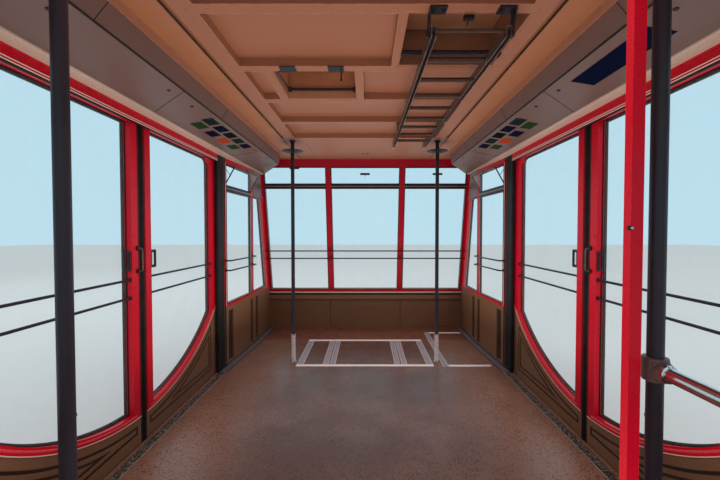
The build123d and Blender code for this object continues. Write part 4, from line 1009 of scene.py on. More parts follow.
class CABIN_OT_poles(bpy.types.Operator):
    """Build the poles' dishes, collars, sleeve rings and screws"""
    bl_idname = "cabin.poles"
    bl_label = "Poles"

    def execute(self, context):
        places = [(side * POLE_X, end * POLE_Y) for side, end in CORNERS]
        dish = turned(at(0, 0, DISH_HEIGHT), ABOVE,
                      [(0.0205, -0.022), (0.040, -0.022), (0.048, -0.0205), (0.060, -0.0165),
                       (0.105, -0.0035), (0.114, -0.0005), (0.118, 0.002), (0.118, 0.004), (0.114, 0.005),
                       (0.030, 0.005), (0.0205, 0.005)], 48)
        dress(repeat(dish, [shift(x, y) for x, y in places if (x, y) != (POLE_X, -POLE_Y)]), "dishes",
              "bar_black", replaces=["pole_dishes"])
        collar = turned(at(0, 0, RIB_FACE), BELOW, [(0.0195, 0), (0.034, 0), (0.034, 0.006), (0.027, 0.010),
                                                    (0.025, 0.022), (0.0195, 0.023)], 28)
        dress(repeat(collar, [shift(x, y) for x, y in places]), "pole_collars", "bar_black")
        lip = turned(at(0, 0, 0.300), ABOVE,
                     [(0.0236, 0), (0.0256, 0.001), (0.0256, 0.006), (0.0225, 0.010), (0.0195, 0.011)], 28)
        foot = turned(at(0, 0, 0.004), ABOVE,
                      [(0.034, 0), (0.034, 0.003), (0.028, 0.008), (0.0255, 0.016), (0.0236, 0.018)], 28)
        dress(repeat([lip, foot], [shift(x, y) for x, y in places]), "sleeve_rings", "bright_steel")
        facing = Vector((-0.64, -0.77, 0))
        pin = head(at(POLE_X, POLE_Y, 0.945) + facing * POLE_RADIUS, facing, 0.0048, 0.0025, 12)
        dress(all_corners(pin), "pole_screws", "bright_steel", coat="ladder_metal")
        return {"FINISHED"}


class CABIN_OT_side_windows(bpy.types.Operator):
    """Fit gaskets, beads, a pale line that paints the red stile's highlight, tilted vent sashes, post seals
    and screws to the side windows
    """
    bl_idname = "cabin.side_windows"
    bl_label = "Side windows"

    def execute(self, context):
        sizes = context.scene.cabin_sizes
        start, stop = BAY

        def wall(y, height, deep=0.0):
            return at(wall_at(y), y, height) - TAPER_IN * deep

        def bay(low, high, deep, shrink=0.0):
            return [wall(y, h, deep)
                    for y, h in ((start + shrink, low + shrink), (stop - shrink, low + shrink),
                                 (stop - shrink, high - shrink), (start + shrink, high - shrink))]

        def corner(deep, shrink=0.0):
            low, high = CORNER_PANE
            foot, top = [end_wall_at(h) - CORNER_GAP - shrink * 1.25 for h in CORNER_PANE]
            return [at(CORNER_IN + deep, y, h) for y, h in
                    ((CORNER_START + shrink, low + shrink), (foot, low + shrink),
                     (top, high - shrink), (CORNER_START + shrink, high - shrink))]

        out = -TAPER_IN
        seals = []
        thick = 0.0155
        for face in (-0.003, 0.0195):
            seals.append(ring(bay(*BAY_PANE, face), sizes.gasket_width, out * thick, 0.002))
            seals.append(ring(bay(*BAY_VENT, face), 0.009, out * thick, 0.002))
            seals.append(ring(corner(face), sizes.gasket_width, Vector((thick, 0, 0)), 0.002))
        dress(all_corners(seals), "side_window_gaskets", "rubber_black")

        inset = sizes.gasket_width + 0.001
        beads = [rod(bay(*BAY_PANE, 0.002, inset), sizes.bead_radius * 0.7, closed=True, sides=1),
                 rod(corner(0.002, inset), sizes.bead_radius * 0.7, closed=True, sides=1),
                 slab([wall(y, h, -0.0035) for y, h in ((1.356, 1.9185), (2.039, 1.9185), (2.039, 1.9215),
                                                        (1.356, 1.9215))], out * 0.006, 0.001),
                 # A pale line beside the door post painting the red stile's highlight.
                 slab([wall(y, h, -0.003) for y, h in ((1.336, 0.650), (1.344, 0.650), (1.344, 2.190),
                                                       (1.336, 2.190))], out * 0.004, 0.001)]
        dress(all_corners(beads), "side_window_beads_and_highlight", "trim_cream", coat="bead_and_highlight_cream")

        tilt = TAPER_IN * math.sin(math.radians(30)) + Vector((0, 0, math.cos(math.radians(30))))
        low_edge = [wall(y, 1.948, 0.016) for y in (1.360, 2.035)]
        sash = [rod([low_edge[0], low_edge[1], low_edge[1] + tilt * 0.230, low_edge[0] + tilt * 0.230],
                    0.0065, 0.012, closed=True, sides=2)]
        middle = (low_edge[0] + low_edge[1]) / 2 + tilt * 0.230
        sash.append(slab([middle + TAPER * a + tilt * t
                          for a, t in ((-0.045, -0.008), (0.045, -0.008), (0.038, 0.014), (-0.038, 0.014))],
                         TAPER_IN * 0.014, 0.003))
        for y in (1.372, 2.023):
            near = wall(y, 1.948, 0.016)
            sash.append(rod([near + tilt * 0.120, wall(y, 2.130, 0.010)], 0.003))
        dress(all_corners(sash), "side_vent_sashes", "bar_black")

        posts = [slab([wall(y, h, -0.001) for y, h in ((1.310, 0.010), (1.328, 0.010), (1.328, 2.235),
                                                       (1.310, 2.235))], TAPER_IN * 0.005, 0.002)]
        dress(all_corners(posts), "post_seals", "rubber_black")
        screws = []
        for height in (0.70, 1.10, 1.50, 1.90, 2.16):
            screws.append(screw(wall(2.066, height), TAPER_IN, sizes))
        for y in (1.42, 1.60, 1.78, 1.96):
            screws.append(screw(wall(y, 2.208), TAPER_IN, sizes))
            screws.append(screw(wall(y, 0.652), TAPER_IN, sizes))
        dress(all_corners(screws), "side_frame_screws", "bar_black")
        return {"FINISHED"}


class CABIN_OT_end_windows(bpy.types.Operator):
    """Fit gaskets, beads, latches and screws to the end windows and walls"""
    bl_idname = "cabin.end_windows"
    bl_label = "End windows"

    inward = Vector((0, -math.cos(LEAN), -math.sin(LEAN)))
    slope = Vector((0, -math.sin(LEAN), math.cos(LEAN)))

    def on_wall(self, x, height, deep=0.0):
        """A point on the leaning wall, or so deep in it."""
        return at(x, end_wall_at(height), height) - self.inward * deep

    def pane(self, left, right, low, high, deep):
        return [self.on_wall(x, h, deep) for x, h in ((left, low), (right, low), (right, high), (left, high))]

    def execute(self, context):
        sizes = context.scene.cabin_sizes
        seals, beads, sashes = [], [], []
        for left, right in END_COLUMNS:
            for start, deep in ((-0.003, 0.0250), (0.0290, 0.0180)):
                seals.append(ring(self.pane(left, right, *END_PANE, start), sizes.gasket_width,
                                  -self.inward * deep, 0.002))
                seals.append(
                    ring(self.pane(left, right, *END_VENT, start), 0.010, -self.inward * deep, 0.002))
            inset = sizes.gasket_width
            beads.append(rod(self.pane(left + inset, right - inset, END_PANE[0] + inset, END_PANE[1] - inset,
                                       0.0), sizes.bead_radius, closed=True, sides=1))
            beads.append(slab(self.pane(left, right, 2.0885, 2.0915, -0.003), -self.inward * 0.008, 0.001))
        dress(both_ends(seals), "end_window_gaskets", "rubber_black")
        dress(both_ends(beads), "end_window_beads", "trim_cream", coat="bead_and_highlight_cream")

        for (left, right), tilt in zip(END_COLUMNS, (0, 7, 7)):
            turn = math.radians(tilt)
            rise = self.slope * math.cos(turn) + self.inward * math.sin(turn)
            foot = [self.on_wall(x, 2.121, 0.0225) for x in (left + 0.006, right - 0.006)]
            sashes.append(rod([foot[0], foot[1], foot[1] + rise * 0.226, foot[0] + rise * 0.226], 0.0062,
                              0.010, closed=True, sides=2))
        latch_places = ((-0.982, 2.334), (-0.004, 2.256), (1.005, 2.256))
        for x, height in latch_places:
            middle = self.on_wall(x, height, 0.0)
            sashes.append(slab([middle + Vector((a, 0, 0)) + self.slope * s for a, s in
                                ((-0.070, -0.014), (0.070, -0.014), (0.064, 0.014), (-0.064, 0.014))],
                               self.inward * 0.020, 0.005))
            sashes.append(
                rod([middle + self.inward * 0.012, middle + self.inward * 0.034 - self.slope * 0.030], 0.005))
        dress(both_ends(sashes), "end_vent_sashes", "bar_black")

        screws = [screw(self.on_wall(side * MULLION, height), self.inward, sizes)
                  for side in (1, -1) for height in (0.62, 0.95, 1.28, 1.61, 1.94, 2.20)]
        screws += [screw(at(-1.35 + 0.27 * n, 2.876, LEDGE_TOP), ABOVE, sizes)
                   for n in range(11)]
        screws += [screw(at(-1.32 + 0.33 * n, 2.8600, 0.466), BEHIND, sizes) for n in range(9)]
        dress(both_ends(screws), "end_screws", "bar_black")

        joints = [block(at(side * 0.530, 2.8985, 0.225), (0.006, 0.005, 0.405), 0.001) for side in (1, -1)]
        joints.append(block(at(0, 2.8585, 0.4315), (2.890, 0.006, 0.004), 0.001))
        # A black strip filling the gap under the ledge: painted shade.
        joints.append(block(at(0, 2.8600, 0.5135), (2.890, 0.024, 0.026), 0.002))
        dress(both_ends(joints), "end_wall_joints_and_shade_gap", "rubber_black")
        nose = turned(at(-1.446, 2.852, 0.540), RIGHT, [(0, 0), (0.0055, 0), (0.0055, 2.892), (0, 2.892)], 12)
        dress(both_ends(nose), "ledge_noses", "trim_cream")

        straps = [block(at(side * x, 2.9470, 0.270), (0.046, 0.008, 0.520), 0.003) for side in (1, -1)
                  for x in (0.53, 1.38)]
        rivets = [rivet(at(side * x + dx, 2.9510, h), AHEAD, sizes) for side in (1, -1)
                  for x in (0.53, 1.38) for dx in (-0.014, 0.014) for h in (0.05, 0.20, 0.35, 0.50)]
        dress(both_ends(straps + rivets), "end_wall_straps", "lining_brown")
        return {"FINISHED"}


class CABIN_OT_rails(bpy.types.Operator):
    """Build the round bars across the side and end windows, with roses and brackets"""
    bl_idname = "cabin.rails"
    bl_label = "Window rails"

    def rose(self, centre, axis, radius):
        return turned(centre, axis, [(0, -0.002), (radius, -0.002), (radius, 0.003), (radius * 0.8, 0.006),
                                     (radius * 0.5, 0.008), (0, 0.008)], 20)

    def execute(self, context):
        sizes = context.scene.cabin_sizes
        stand = TAPER_IN * sizes.rail_stand
        pieces = []
        for height in SIDE_RAILS:
            foot, tip = [at(wall_at(y), y, height) for y in SIDE_RAIL_SPAN]
            pieces.append(rod([foot, foot + stand, tip + stand, tip], sizes.rail_radius, 0.024))
            pieces += [self.rose(place, TAPER_IN, sizes.rose_radius) for place in (foot, tip)]
        dress(all_corners(pieces), "side_rails", "bar_black", replaces=["side_bars"])

        pieces = []
        for height in END_RAILS:
            line = end_wall_at(height) - 0.055
            pieces.append(
                rod([at(-1.4475, line, height), at(1.4475, line, height)], sizes.rail_radius + 0.0005))
            for side in (1, -1):
                pieces.append(self.rose(at(side * 1.448, line, height), (-side, 0, 0), sizes.rose_radius))
                wall = at(side * MULLION, end_wall_at(height), height)
                pieces.append(rod([wall, at(side * MULLION, line, height)], 0.0065))
                pieces.append(self.rose(wall, BEHIND, sizes.rose_radius * 0.9))
        dress(both_ends(pieces), "end_rails", "bar_black", replaces=["end_bars"])
        return {"FINISHED"}


class CABIN_OT_doors(bpy.types.Operator):
    """Build each door leaf's seals, its pale bead and light red arc trim that paint highlights along the arc,
    handles, bars, hangers and rollers
    """
    bl_idname = "cabin.doors"
    bl_label = "Door leaves"

    def outline(self, x, grow=0.0, steps=22):
        """The leaf's glass opening, from the arc's outer end up and round to its inner end and back."""
        radius = GLASS_ARC + grow
        y0, y1, top, cut = STILE_IN - grow, GLASS_END + grow, GLASS_TOP + grow, 0.060
        points = [(y1, top - cut), (y1 - cut * 0.29, top - cut * 0.29), (y1 - cut, top), (y0, top)]
        for step in range(steps + 1):
            y = y0 + (y1 - y0) * step / steps
            points.append((y, arc_at(y, radius)))
        return [at(x, y, height) for y, height in points]

    def sweep(self, x, radius, start, span, steps=22):
        """Points along an arc about the centre of the glass opening's arc."""
        return [at(x, y, arc_at(y, radius)) for y in (start + n * (span / steps) for n in range(steps + 1))]

    def gear(self, sizes):
        """Handle, bars, hanger plates, rollers and guide fin of the front right leaf."""
        pull = [(STILE_IN, 1.190), (STILE_IN + 0.068, 1.190), (STILE_IN + 0.068, 1.321), (STILE_IN, 1.321)]
        pieces = [ring([at(DOOR_IN + 0.003, y, h) for y, h in pull], 0.020, (0.014, 0, 0), 0.0055)]
        for height in DOOR_RAILS:
            pieces.append(rod([at(DOOR_BAR_X, STILE_IN - 0.001, height),
                               at(DOOR_BAR_X, GLASS_END + 0.001, height)], sizes.rail_radius - 0.0005))
            for y, way in ((STILE_IN, 1), (GLASS_END, -1)):
                pieces.append(
                    turned(at(DOOR_BAR_X, y, height), (0, way, 0),
                           [(0.0085, 0), (0.0135, 0), (0.0135, 0.006), (0.0105, 0.011), (0.0085, 0.012)], 16))
        for y in (0.220, 0.980):
            pieces.append(block(at(1.564, y, 2.2872), (0.008, 0.090, 0.094), 0.003))
            pieces.append(turned(at(1.560, y, 2.3123), LEFT,
                                 [(0, -0.006), (0.022, -0.006), (0.022, 0.002), (0.0215, 0.004),
                                  (0.0215, 0.016), (0.022, 0.019), (0.020, 0.020), (0, 0.020)], 28))
            pieces += [hexagon(at(1.568, y + dy, h), RIGHT, 0.009, 0.010) for dy, h in
                       ((-0.028, 2.258), (0.028, 2.258), (0, 2.3123))]
        pieces.append(block(at(1.555, 0.611, -0.077), (0.010, 0.900, 0.034), 0.002))
        return join(pieces)

    def execute(self, context):
        sizes = context.scene.cabin_sizes
        # A pale bead along the arc's outer edge, painting its highlight.
        highlight_bead = self.sweep(DOOR_IN - 0.0005, BEAD_ARC, 0.036, 1.150)
        rounded = self.sweep(DOOR_IN + 0.0042, TRIM_ARC, 0.080, 1.030)
        meeting = [(1.536, 0.032), (1.536, 0.014), (1.545, 0.006), (1.549, 0.0025), (1.577, 0.0025),
                   (1.581, 0.006), (1.590, 0.014), (1.590, 0.032)]
        masters = {
            "gear": (self.gear(sizes), "bar_black", "bar_black"),
            "gasket": (join([ring(self.outline(DOOR_IN + 0.0335), sizes.gasket_width * 0.5,
                                  (0.0065, 0, 0), 0.0015),
                             ring(self.outline(1.578), sizes.gasket_width + 0.002,
                                  (0.0150, 0, 0), 0.0015)]), "rubber_black", "rubber_black"),
            "highlight_bead": (rod(highlight_bead, sizes.bead_radius, sides=2), "trim_cream", "bead_and_highlight_cream"),
            # The light red of the arc trim paints its highlight.
            "arc_trim": (rod(rounded, 0.008, sides=3), "frame_red", "trim_red_highlight"),
            "rubber": (join([slab([at(x, y, -0.060) for x, y in meeting], (0, 0, 2.300), 0.001),
                             slab([at(DOOR_IN - 0.001, y, h) for y, h in ((0.0335, 0.190), (0.0405, 0.190),
                                                                          (0.0405, 2.238), (0.0335, 2.238))],
                                  (0.004, 0, 0), 0.001)]), "rubber_black", "rubber_black"),
            "screws": (join([screw(at(DOOR_IN, y, h), LEFT, sizes)
                             for y in (0.085, 1.150) for h in (0.78, 1.08, 1.42, 1.76, 2.10)]
                            + [screw(at(DOOR_OUT - 0.0035, y, h), RIGHT, sizes)
                               for y in (0.068, 1.134) for h in (0.05, 0.78, 1.08, 1.42, 1.76, 2.10)]),
                       "bar_black", "bar_black"),
        }
        for name, (side, end) in LEAVES.items():
            body = "door_" + name
            for label, (master, slot, coat) in masters.items():
                hidden = ["door_fittings_" + name] if label in ("gear", "rubber") else []
                dress(copied(master, flip(side, end)), "door_" + label + "_" + name, slot, body, hidden, coat)
            if end < 0:
                self.bail(side, body, name)
        for master, slot, coat in masters.values():
            bpy.data.objects.remove(master)
        return {"FINISHED"}

    def bail(self, side, body, name):
        """The thin loop handle on two roses inside a rear leaf."""
        reach = side * (DOOR_IN - 0.034)
        wall = side * DOOR_IN
        low, high = LOOP_HEIGHTS
        grip = rod([at(wall, LOOP_Y, low), at(reach, LOOP_Y, low), at(reach, LOOP_Y, high),
                    at(wall, LOOP_Y, high)], 0.0048, 0.014)
        dress(grip, "bail_" + name, "ladder_metal", body, ["door_fittings_" + name])
        roses = [turned(at(wall, LOOP_Y, h), (-side, 0, 0),
                        [(0, 0), (0.0175, 0), (0.0175, 0.004), (0.0145, 0.0075), (0.008, 0.009), (0, 0.009)],
                        20) for h in LOOP_HEIGHTS]
        dress(roses, "bail_roses_" + name, "bar_black", body, ["door_fittings_" + name])


class CABIN_OT_headers(bpy.types.Operator):
    """Fit pale beads that paint highlight lines, the hanging seal and screwed covers to the door headers, and
    lips to the black posts
    """
    bl_idname = "cabin.headers"
    bl_label = "Door headers"

    def execute(self, context):
        sizes = context.scene.cabin_sizes
        # The two pale beads paint highlight lines along the header's lower edge.
        beads = [rod([at(WALL_IN - 0.0005, -1.154, h), at(WALL_IN - 0.0005, 1.154, h)], sizes.bead_radius,
                     sides=2) for h in (2.1725, 2.1860)]
        dress(both_sides(beads), "header_highlight_beads", "trim_cream", coat="bead_and_highlight_cream")
        seals = [slab([at(x, -1.154, h) for x, h in ((1.497, 2.171), (1.523, 2.171), (1.521, 2.166),
                                                     (1.499, 2.166))], (0, 2.308, 0), 0.001)]
        dress(both_sides(seals), "header_seals", "rubber_black")
        lips = [slab([at(x, 1.156, 0.006) - Vector((0, y, 0))
                      for x, y in ((1.496, 0), (1.524, 0), (1.520, 0.012), (1.500, 0.012))], (0, 0, 2.162),
                     0.002)]
        dress(all_corners(lips), "post_lips", "rubber_black")
        covers = [block(at(1.4925, 0, 2.2335), (0.005, 2.300, 0.010), 0.002)]
        screws = [screw(at(WALL_IN - 0.001, -1.05 + 0.30 * n, 2.2290), LEFT, sizes)
                  for n in range(8)]
        dress(both_sides(covers + screws), "header_covers", "frame_red")
        return {"FINISHED"}


class CABIN_OT_floor(bpy.types.Operator):
    """Fit the floor strips' edges, grooves, covers and screws, the threshold edges, the dark sheets that
    paint shade in the wall channels, and coves
    """
    bl_idname = "cabin.floor"
    bl_label = "Floor fittings"

    top = 0.003
    cross = (1.345, 2.221)

    def execute(self, context):
        strips = [("x", y, -0.7455, 0.7455, 0.058) for y in self.cross]
        strips += [("y", side * x, 1.377, 2.189, wide) for side in (1, -1)
                   for x, wide in ((0.4305, 0.065), (0.708, 0.075))]
        strips += [("y", 0.872, 1.310, 2.598, 0.065)]
        self.dress_strips(strips, "root", "")
        lid = [("y", side * 0.3555, 1.386, 2.180, 0.065) for side in (1, -1)]
        self.dress_strips(lid, "floor_hatch", "lid_")

        covers = [block(at(0, y, 0.0034), (1.490, 0.050, 0.0014), 0.0004) for y in self.cross]
        covers += [block(at((0.9055 + 1.3660) / 2, y, 0.0034), (0.458, 0.050, 0.0014), 0.0004)
                   for y in (1.338, 2.570)]
        dress(covers, "cross_strip_covers", "strip_metal", coat="strip_bright")
        edge = block(at(1.4325, 0, 0.0030), (0.005, 2.306, 0.005), 0.0015)
        dress(both_sides(edge), "threshold_edges", "trim_cream", coat="edge_line")
        # Dark sheets on the floors of the wall channels: painted shade in the recesses.
        thin_sheets = [slab([at(wall_at(y) + 0.0175, y, h)
                        for y, h in ((y0, 0.032), (y1, 0.032), (y1, 0.588), (y0, 0.588))], (-0.0015, 0, 0))
                  for y0, y1 in ((1.392, 1.508), (2.012, 2.084), (2.202, 2.298))]
        dress(all_corners(thin_sheets), "channel_shade_sheets", "lining_brown", coat="channel_brown")
        kick = rod([at(wall_at(y) - 0.0795, y, 0.0030) for y in (1.156, 1.300, 2.090, 2.898)], 0.0028,
                   sides=1)
        dress(all_corners(kick), "kick_strip_edges", "rubber_black")
        skirting = rod([at(wall_at(y) - 0.001, y, 0.004) for y in (1.302, 1.500, 2.090, 2.898)], 0.006,
                       sides=2)
        dress(all_corners(skirting), "floor_cove", "rubber_black")
        return {"FINISHED"}

    def dress_strips(self, strips, body, prefix):
        """Pale edges, dark grooves and screws of strips, each given by way, middle, start, stop and width."""
        edges, grooves, screws = [], [], []
        top = self.top
        for way, middle, start, stop, wide in strips:
            def spot(along, across, height):
                return (at(along, middle + across, height) if way == "x"
                        else at(middle + across, along, height))
            for across in (-wide / 2 + 0.003, wide / 2 - 0.003):
                edges.append(
                    rod([spot(start + 0.002, across, top), spot(stop - 0.002, across, top)], 0.0024, sides=1))
            for across in (-wide * 0.22, 0, wide * 0.22):
                size = (stop - start - 0.012, 0.0022, 0.0008)
                size = size if way == "x" else (size[1], size[0], size[2])
                grooves.append(block(spot((start + stop) / 2, across, top), size, 0.0003))
            count = max(round((stop - start) / 0.27), 2)
            for n in range(count):
                along = start + 0.03 + (stop - start - 0.06) * n / (count - 1)
                screws.append(head(spot(along, wide * 0.33, top), ABOVE, 0.0042, 0.0014, 8))
        dress(edges, prefix + "strip_edges", "strip_metal", body, coat="bead_and_highlight_cream")
        dress(grooves, prefix + "strip_grooves", "strip_metal", body, coat="rubber_black")
        dress(screws, prefix + "strip_screws", "strip_metal", body, coat="bright_steel")


class CABIN_OT_attendant(bpy.types.Operator):
    """Fit the clamp, collar and foot of the attendant's rail, and the knob and foot of the red post"""
    bl_idname = "cabin.attendant"
    bl_label = "Attendant's place"

    def execute(self, context):
        x, y, h = POLE_X, -POLE_Y, RAIL_HEIGHT
        clamp = [turned(at(x, y, h - 0.032), ABOVE, [(0.0198, 0), (0.0295, 0.001), (0.0305, 0.004),
                                                     (0.0305, 0.060), (0.0295, 0.063), (0.0198, 0.064)], 28),
                 turned(at(x, y - 0.020, h), BEHIND,
                        [(0.0178, 0), (0.0260, 0), (0.0260, 0.016), (0.0235, 0.020), (0.0178, 0.021)], 28),
                 block(at(x, y, h), (0.050, 0.052, 0.054), 0.008, 3)]
        dress(clamp, "rail_clamp", "bar_black", coat="casting_brown")
        collar = turned(at(x, y - 0.044, h), BEHIND,
                        [(0.0178, -0.004), (0.0235, -0.004), (0.0235, 0.004), (0.0178, 0.006)], 28)
        dress(collar, "rail_collar", "bright_steel")
        foot = [turned(at(x, RAIL_POST_Y, 0.007), ABOVE,
                       [(0.0478, 0), (0.0470, 0.003), (0.030, 0.006), (0.0215, 0.016), (0.0178, 0.018)], 32),
                turned(at(x, RAIL_POST_Y, h - 0.030), ABOVE,
                       [(0.0178, 0), (0.0215, 0.002), (0.0215, 0.012), (0.0178, 0.014)], 28)]
        foot += [head(at(x + 0.037 * math.cos(a), RAIL_POST_Y + 0.037 * math.sin(a), 0.008), ABOVE, 0.005,
                      0.003, 10) for a in (0.6, 2.2, 3.7, 5.3)]
        dress(foot, "rail_foot", "bright_steel")
        knob = turned(at(0.7135, -1.4835, 1.460), BEHIND, [(0, -0.002), (0.0065, -0.002), (0.0065, 0.006),
                                                           (0.0052, 0.009), (0, 0.009)], 18)
        dress(knob, "post_knob", "bar_black")
        dot = turned(at(0.7135, -1.4922, 1.460), BEHIND, [(0, 0), (0.0042, 0), (0.0036, 0.0016), (0, 0.002)],
                     14)
        dress(dot, "post_knob_pin", "bright_steel")
        cap = turned(at(0.733, -POLE_Y, 0), ABOVE,
                     [(0.027, -0.001), (0.027, 0.004), (0.021, 0.010), (0.0, 0.010)], 4)
        dress(cap, "post_foot", "bright_steel")
        return {"FINISHED"}


class CABIN_OT_roof(bpy.types.Operator):
    """Fit the lids' handles, hinges and linings, and the roof's seams, gutters and rail feet"""
    bl_idname = "cabin.roof"
    bl_label = "Roof fittings"

    def lid_gear(self, name, spans, along_y, reach):
        """Handle, two hinge leaves, screws, lining and ribs of a lid, whose hinge runs along Y or along X."""
        low, high = [Vector((x, y, 0)) for x, y in zip(*spans)]
        middle = (low + high) / 2

        def spot(away, across, lift):
            x, y = (away, middle.y + across) if along_y else (middle.x + across, away)
            return at(x, y, LID_TOP + lift)

        free, hinge = (low.x + 0.090, high.x - 0.036) if along_y else (high.y - 0.090, low.y + 0.036)
        leaf = (0.072, 0.050, 0.005) if along_y else (0.050, 0.072, 0.005)
        grip = [spot(free, across, lift)
                for across, lift in ((-0.07, 0), (-0.07, 0.040), (0.07, 0.040), (0.07, 0))]
        pieces = [block(spot(hinge, way * reach, 0.002), leaf, 0.0015) for way in (-1, 1)]
        pieces.append(rod(grip, 0.007, 0.018))
        pieces += [head(at(x, y, LID_TOP), ABOVE, 0.006, 0.004, FASTENER_STEPS)
                   for x in (low.x + 0.035, high.x - 0.035) for y in (low.y + 0.035, high.y - 0.035)]
        dress(pieces, name + "_gear", "bar_black", name)
        lining = block(at(middle.x, middle.y, 2.6625),
                       (high.x - low.x - 0.058, high.y - low.y - 0.058, 0.0055), 0.002)
        dress(lining, name + "_lining", "ceiling_beige", name,
              coat="vent_brown" if along_y else "hatch_brown")
        stiffener = [block(at(middle.x + dx * (high.x - low.x) * 0.30, middle.y, LID_TOP + 0.002),
                           (0.030, (high.y - low.y) * 0.62, 0.008), 0.004, 2) for dx in (-0.45, 0.45)]
        dress(stiffener, name + "_ribs", "roof_pale", name)

    def execute(self, context):
        self.lid_gear("vent_lid", VENT_LID, True, 0.14)
        self.lid_gear("hatch_lid", HATCH_LID, False, 0.16)
        barrels = [rod([at(-0.0345, y - 0.025, 2.655), at(-0.0345, y + 0.025, 2.655)], 0.007)
                   for y in (-0.12, 0.16)]
        barrels += [rod([at(x - 0.025, -0.8065, 2.655), at(x + 0.025, -0.8065, 2.655)], 0.007)
                    for x in (0.33, 0.65)]
        dress(barrels, "lid_hinges", "bar_black")

        seams = []
        for y in (-2.2, -1.7, -0.95, 0.75, 1.7, 2.2):
            for x0, x1 in ((-1.43, -0.895), (-0.785, 0.785), (0.895, 1.43)):
                seams.append(block(at((x0 + x1) / 2, y, ROOF_TOP + 0.002), (x1 - x0, 0.016, 0.010), 0.004, 1))
        dress(seams, "roof_seams", "roof_pale")
        plan = [(1.545, 0), (1.545, POST_END), (CORNER_IN + 0.051, TAPER_END), (CORNER_IN + 0.051, 2.470)]
        gutter = rod([at(x - 0.012, y, 2.530) for x, y in plan], 0.009, 0.02)
        dress(all_corners(gutter), "roof_gutters", "roof_pale")
        bolt = hexagon(at(0, 0, ROOF_TOP), ABOVE, 0.011, 0.012)
        rows = (-1.42, -0.95, -0.20, 0.20, 0.95, 1.42)
        places = [(side * (ROOF_RAIL_X + dx), y) for side in (1, -1) for dx in (-0.062, 0.062) for y in rows]
        feet = [block(at(side * ROOF_RAIL_X, y, ROOF_TOP + 0.003), (0.190, 0.120, 0.008), 0.003)
                for side in (1, -1) for y in rows]
        dress([repeat(bolt, [shift(x, y, 0.006) for x, y in places])] + feet, "rail_feet", "frame_grey")
        return {"FINISHED"}


class CABIN_OT_hanger(bpy.types.Operator):
    """Fit the hanger's flanges, bolts, welds and bearing rings"""
    bl_idname = "cabin.hanger"
    bl_label = "Hanger"

    def execute(self, context):
        sizes = context.scene.cabin_sizes
        plates = [block(at(0, 0, 3.137), (0.300, 0.620, 0.024), 0.006, 2),
                  block(at(0, 0, 6.290), (0.250, 0.330, 0.024), 0.006, 2)]
        plates += [block(at(0, side * BEAM_Y, 2.906), (0.330, 0.230, 0.020), 0.005, 2) for side in (1, -1)]
        plates += [block(at(side * ROOF_RAIL_X, end * BEAM_Y, 2.704), (0.130, 0.240, 0.016), 0.004, 2)
                   for side in (1, -1) for end in (1, -1)]
        plates += [block(at(side * 0.8805, end * BEAM_Y, 2.800), (0.008, 0.150, 0.170), 0.003)
                   for side in (1, -1) for end in (1, -1)]
        plates += [block(at(0, end * 1.302, 3.015), (0.200, 0.010, 0.190), 0.003) for end in (1, -1)]
        dress(plates, "hanger_flanges", "hanger_grey")

        bolt = hexagon((0, 0, 0), ABOVE, sizes.bolt_radius, 0.022)
        places = [(side * 0.125, y, up(3.149)) for side in (1, -1) for y in (-0.27, 0.27)]
        places += [(side * 0.140, end * BEAM_Y + dy, up(2.916)) for side in (1, -1) for end in (1, -1)
                   for dy in (-0.09, 0.09)]
        places += [(side * ROOF_RAIL_X, end * BEAM_Y + dy, up(2.712)) for side in (1, -1) for end in (1, -1)
                   for dy in (-0.105, 0.105)]
        dress(repeat(bolt, [shift(*place) for place in places]), "hanger_bolts", "hanger_grey",
              coat="ladder_metal")

        welds = []
        for side in (1, -1):
            for end in (1, -1):
                welds.append(rod([at(side * 0.021, end * 0.945, 3.131), at(side * 0.021, end * 0.240, 3.131)],
                                 0.006, sides=1))
                welds.append(rod([at(side * 0.021, end * 0.229, 3.160),
                                  at(side * 0.021, end * 0.1955, 3.900)], 0.006, sides=1))
            welds.append(
                rod([at(side * 0.101, -0.225, 3.151), at(side * 0.101, 0.225, 3.151)], 0.006, sides=1))
        ribs = [slab([at(-0.0995, end * 0.200, h) + Vector((0, end * dy, 0))
                      for dy, h in ((0.020, 3.15), (0.110, 3.15), (0.012, 3.42))], (0.199, 0, 0), 0.002)
                for end in (1, -1)]
        dress(welds + ribs, "hanger_welds", "hanger_grey")
        bearing = turned((0.159, 0, 0), RIGHT, [(0.0605, 0), (0.104, 0), (0.104, 0.010), (0.098, 0.014),
                                                (0.070, 0.014), (0.066, 0.018), (0.0605, 0.018)], 48)
        bolts = [hexagon((0.172, 0.086 * math.cos(a), 0.086 * math.sin(a)), RIGHT, 0.007, 0.008)
                 for a in (math.tau * n / 8 for n in range(8))]
        dress(both_sides([bearing] + bolts), "bearing_rings", "bright_steel")
        return {"FINISHED"}


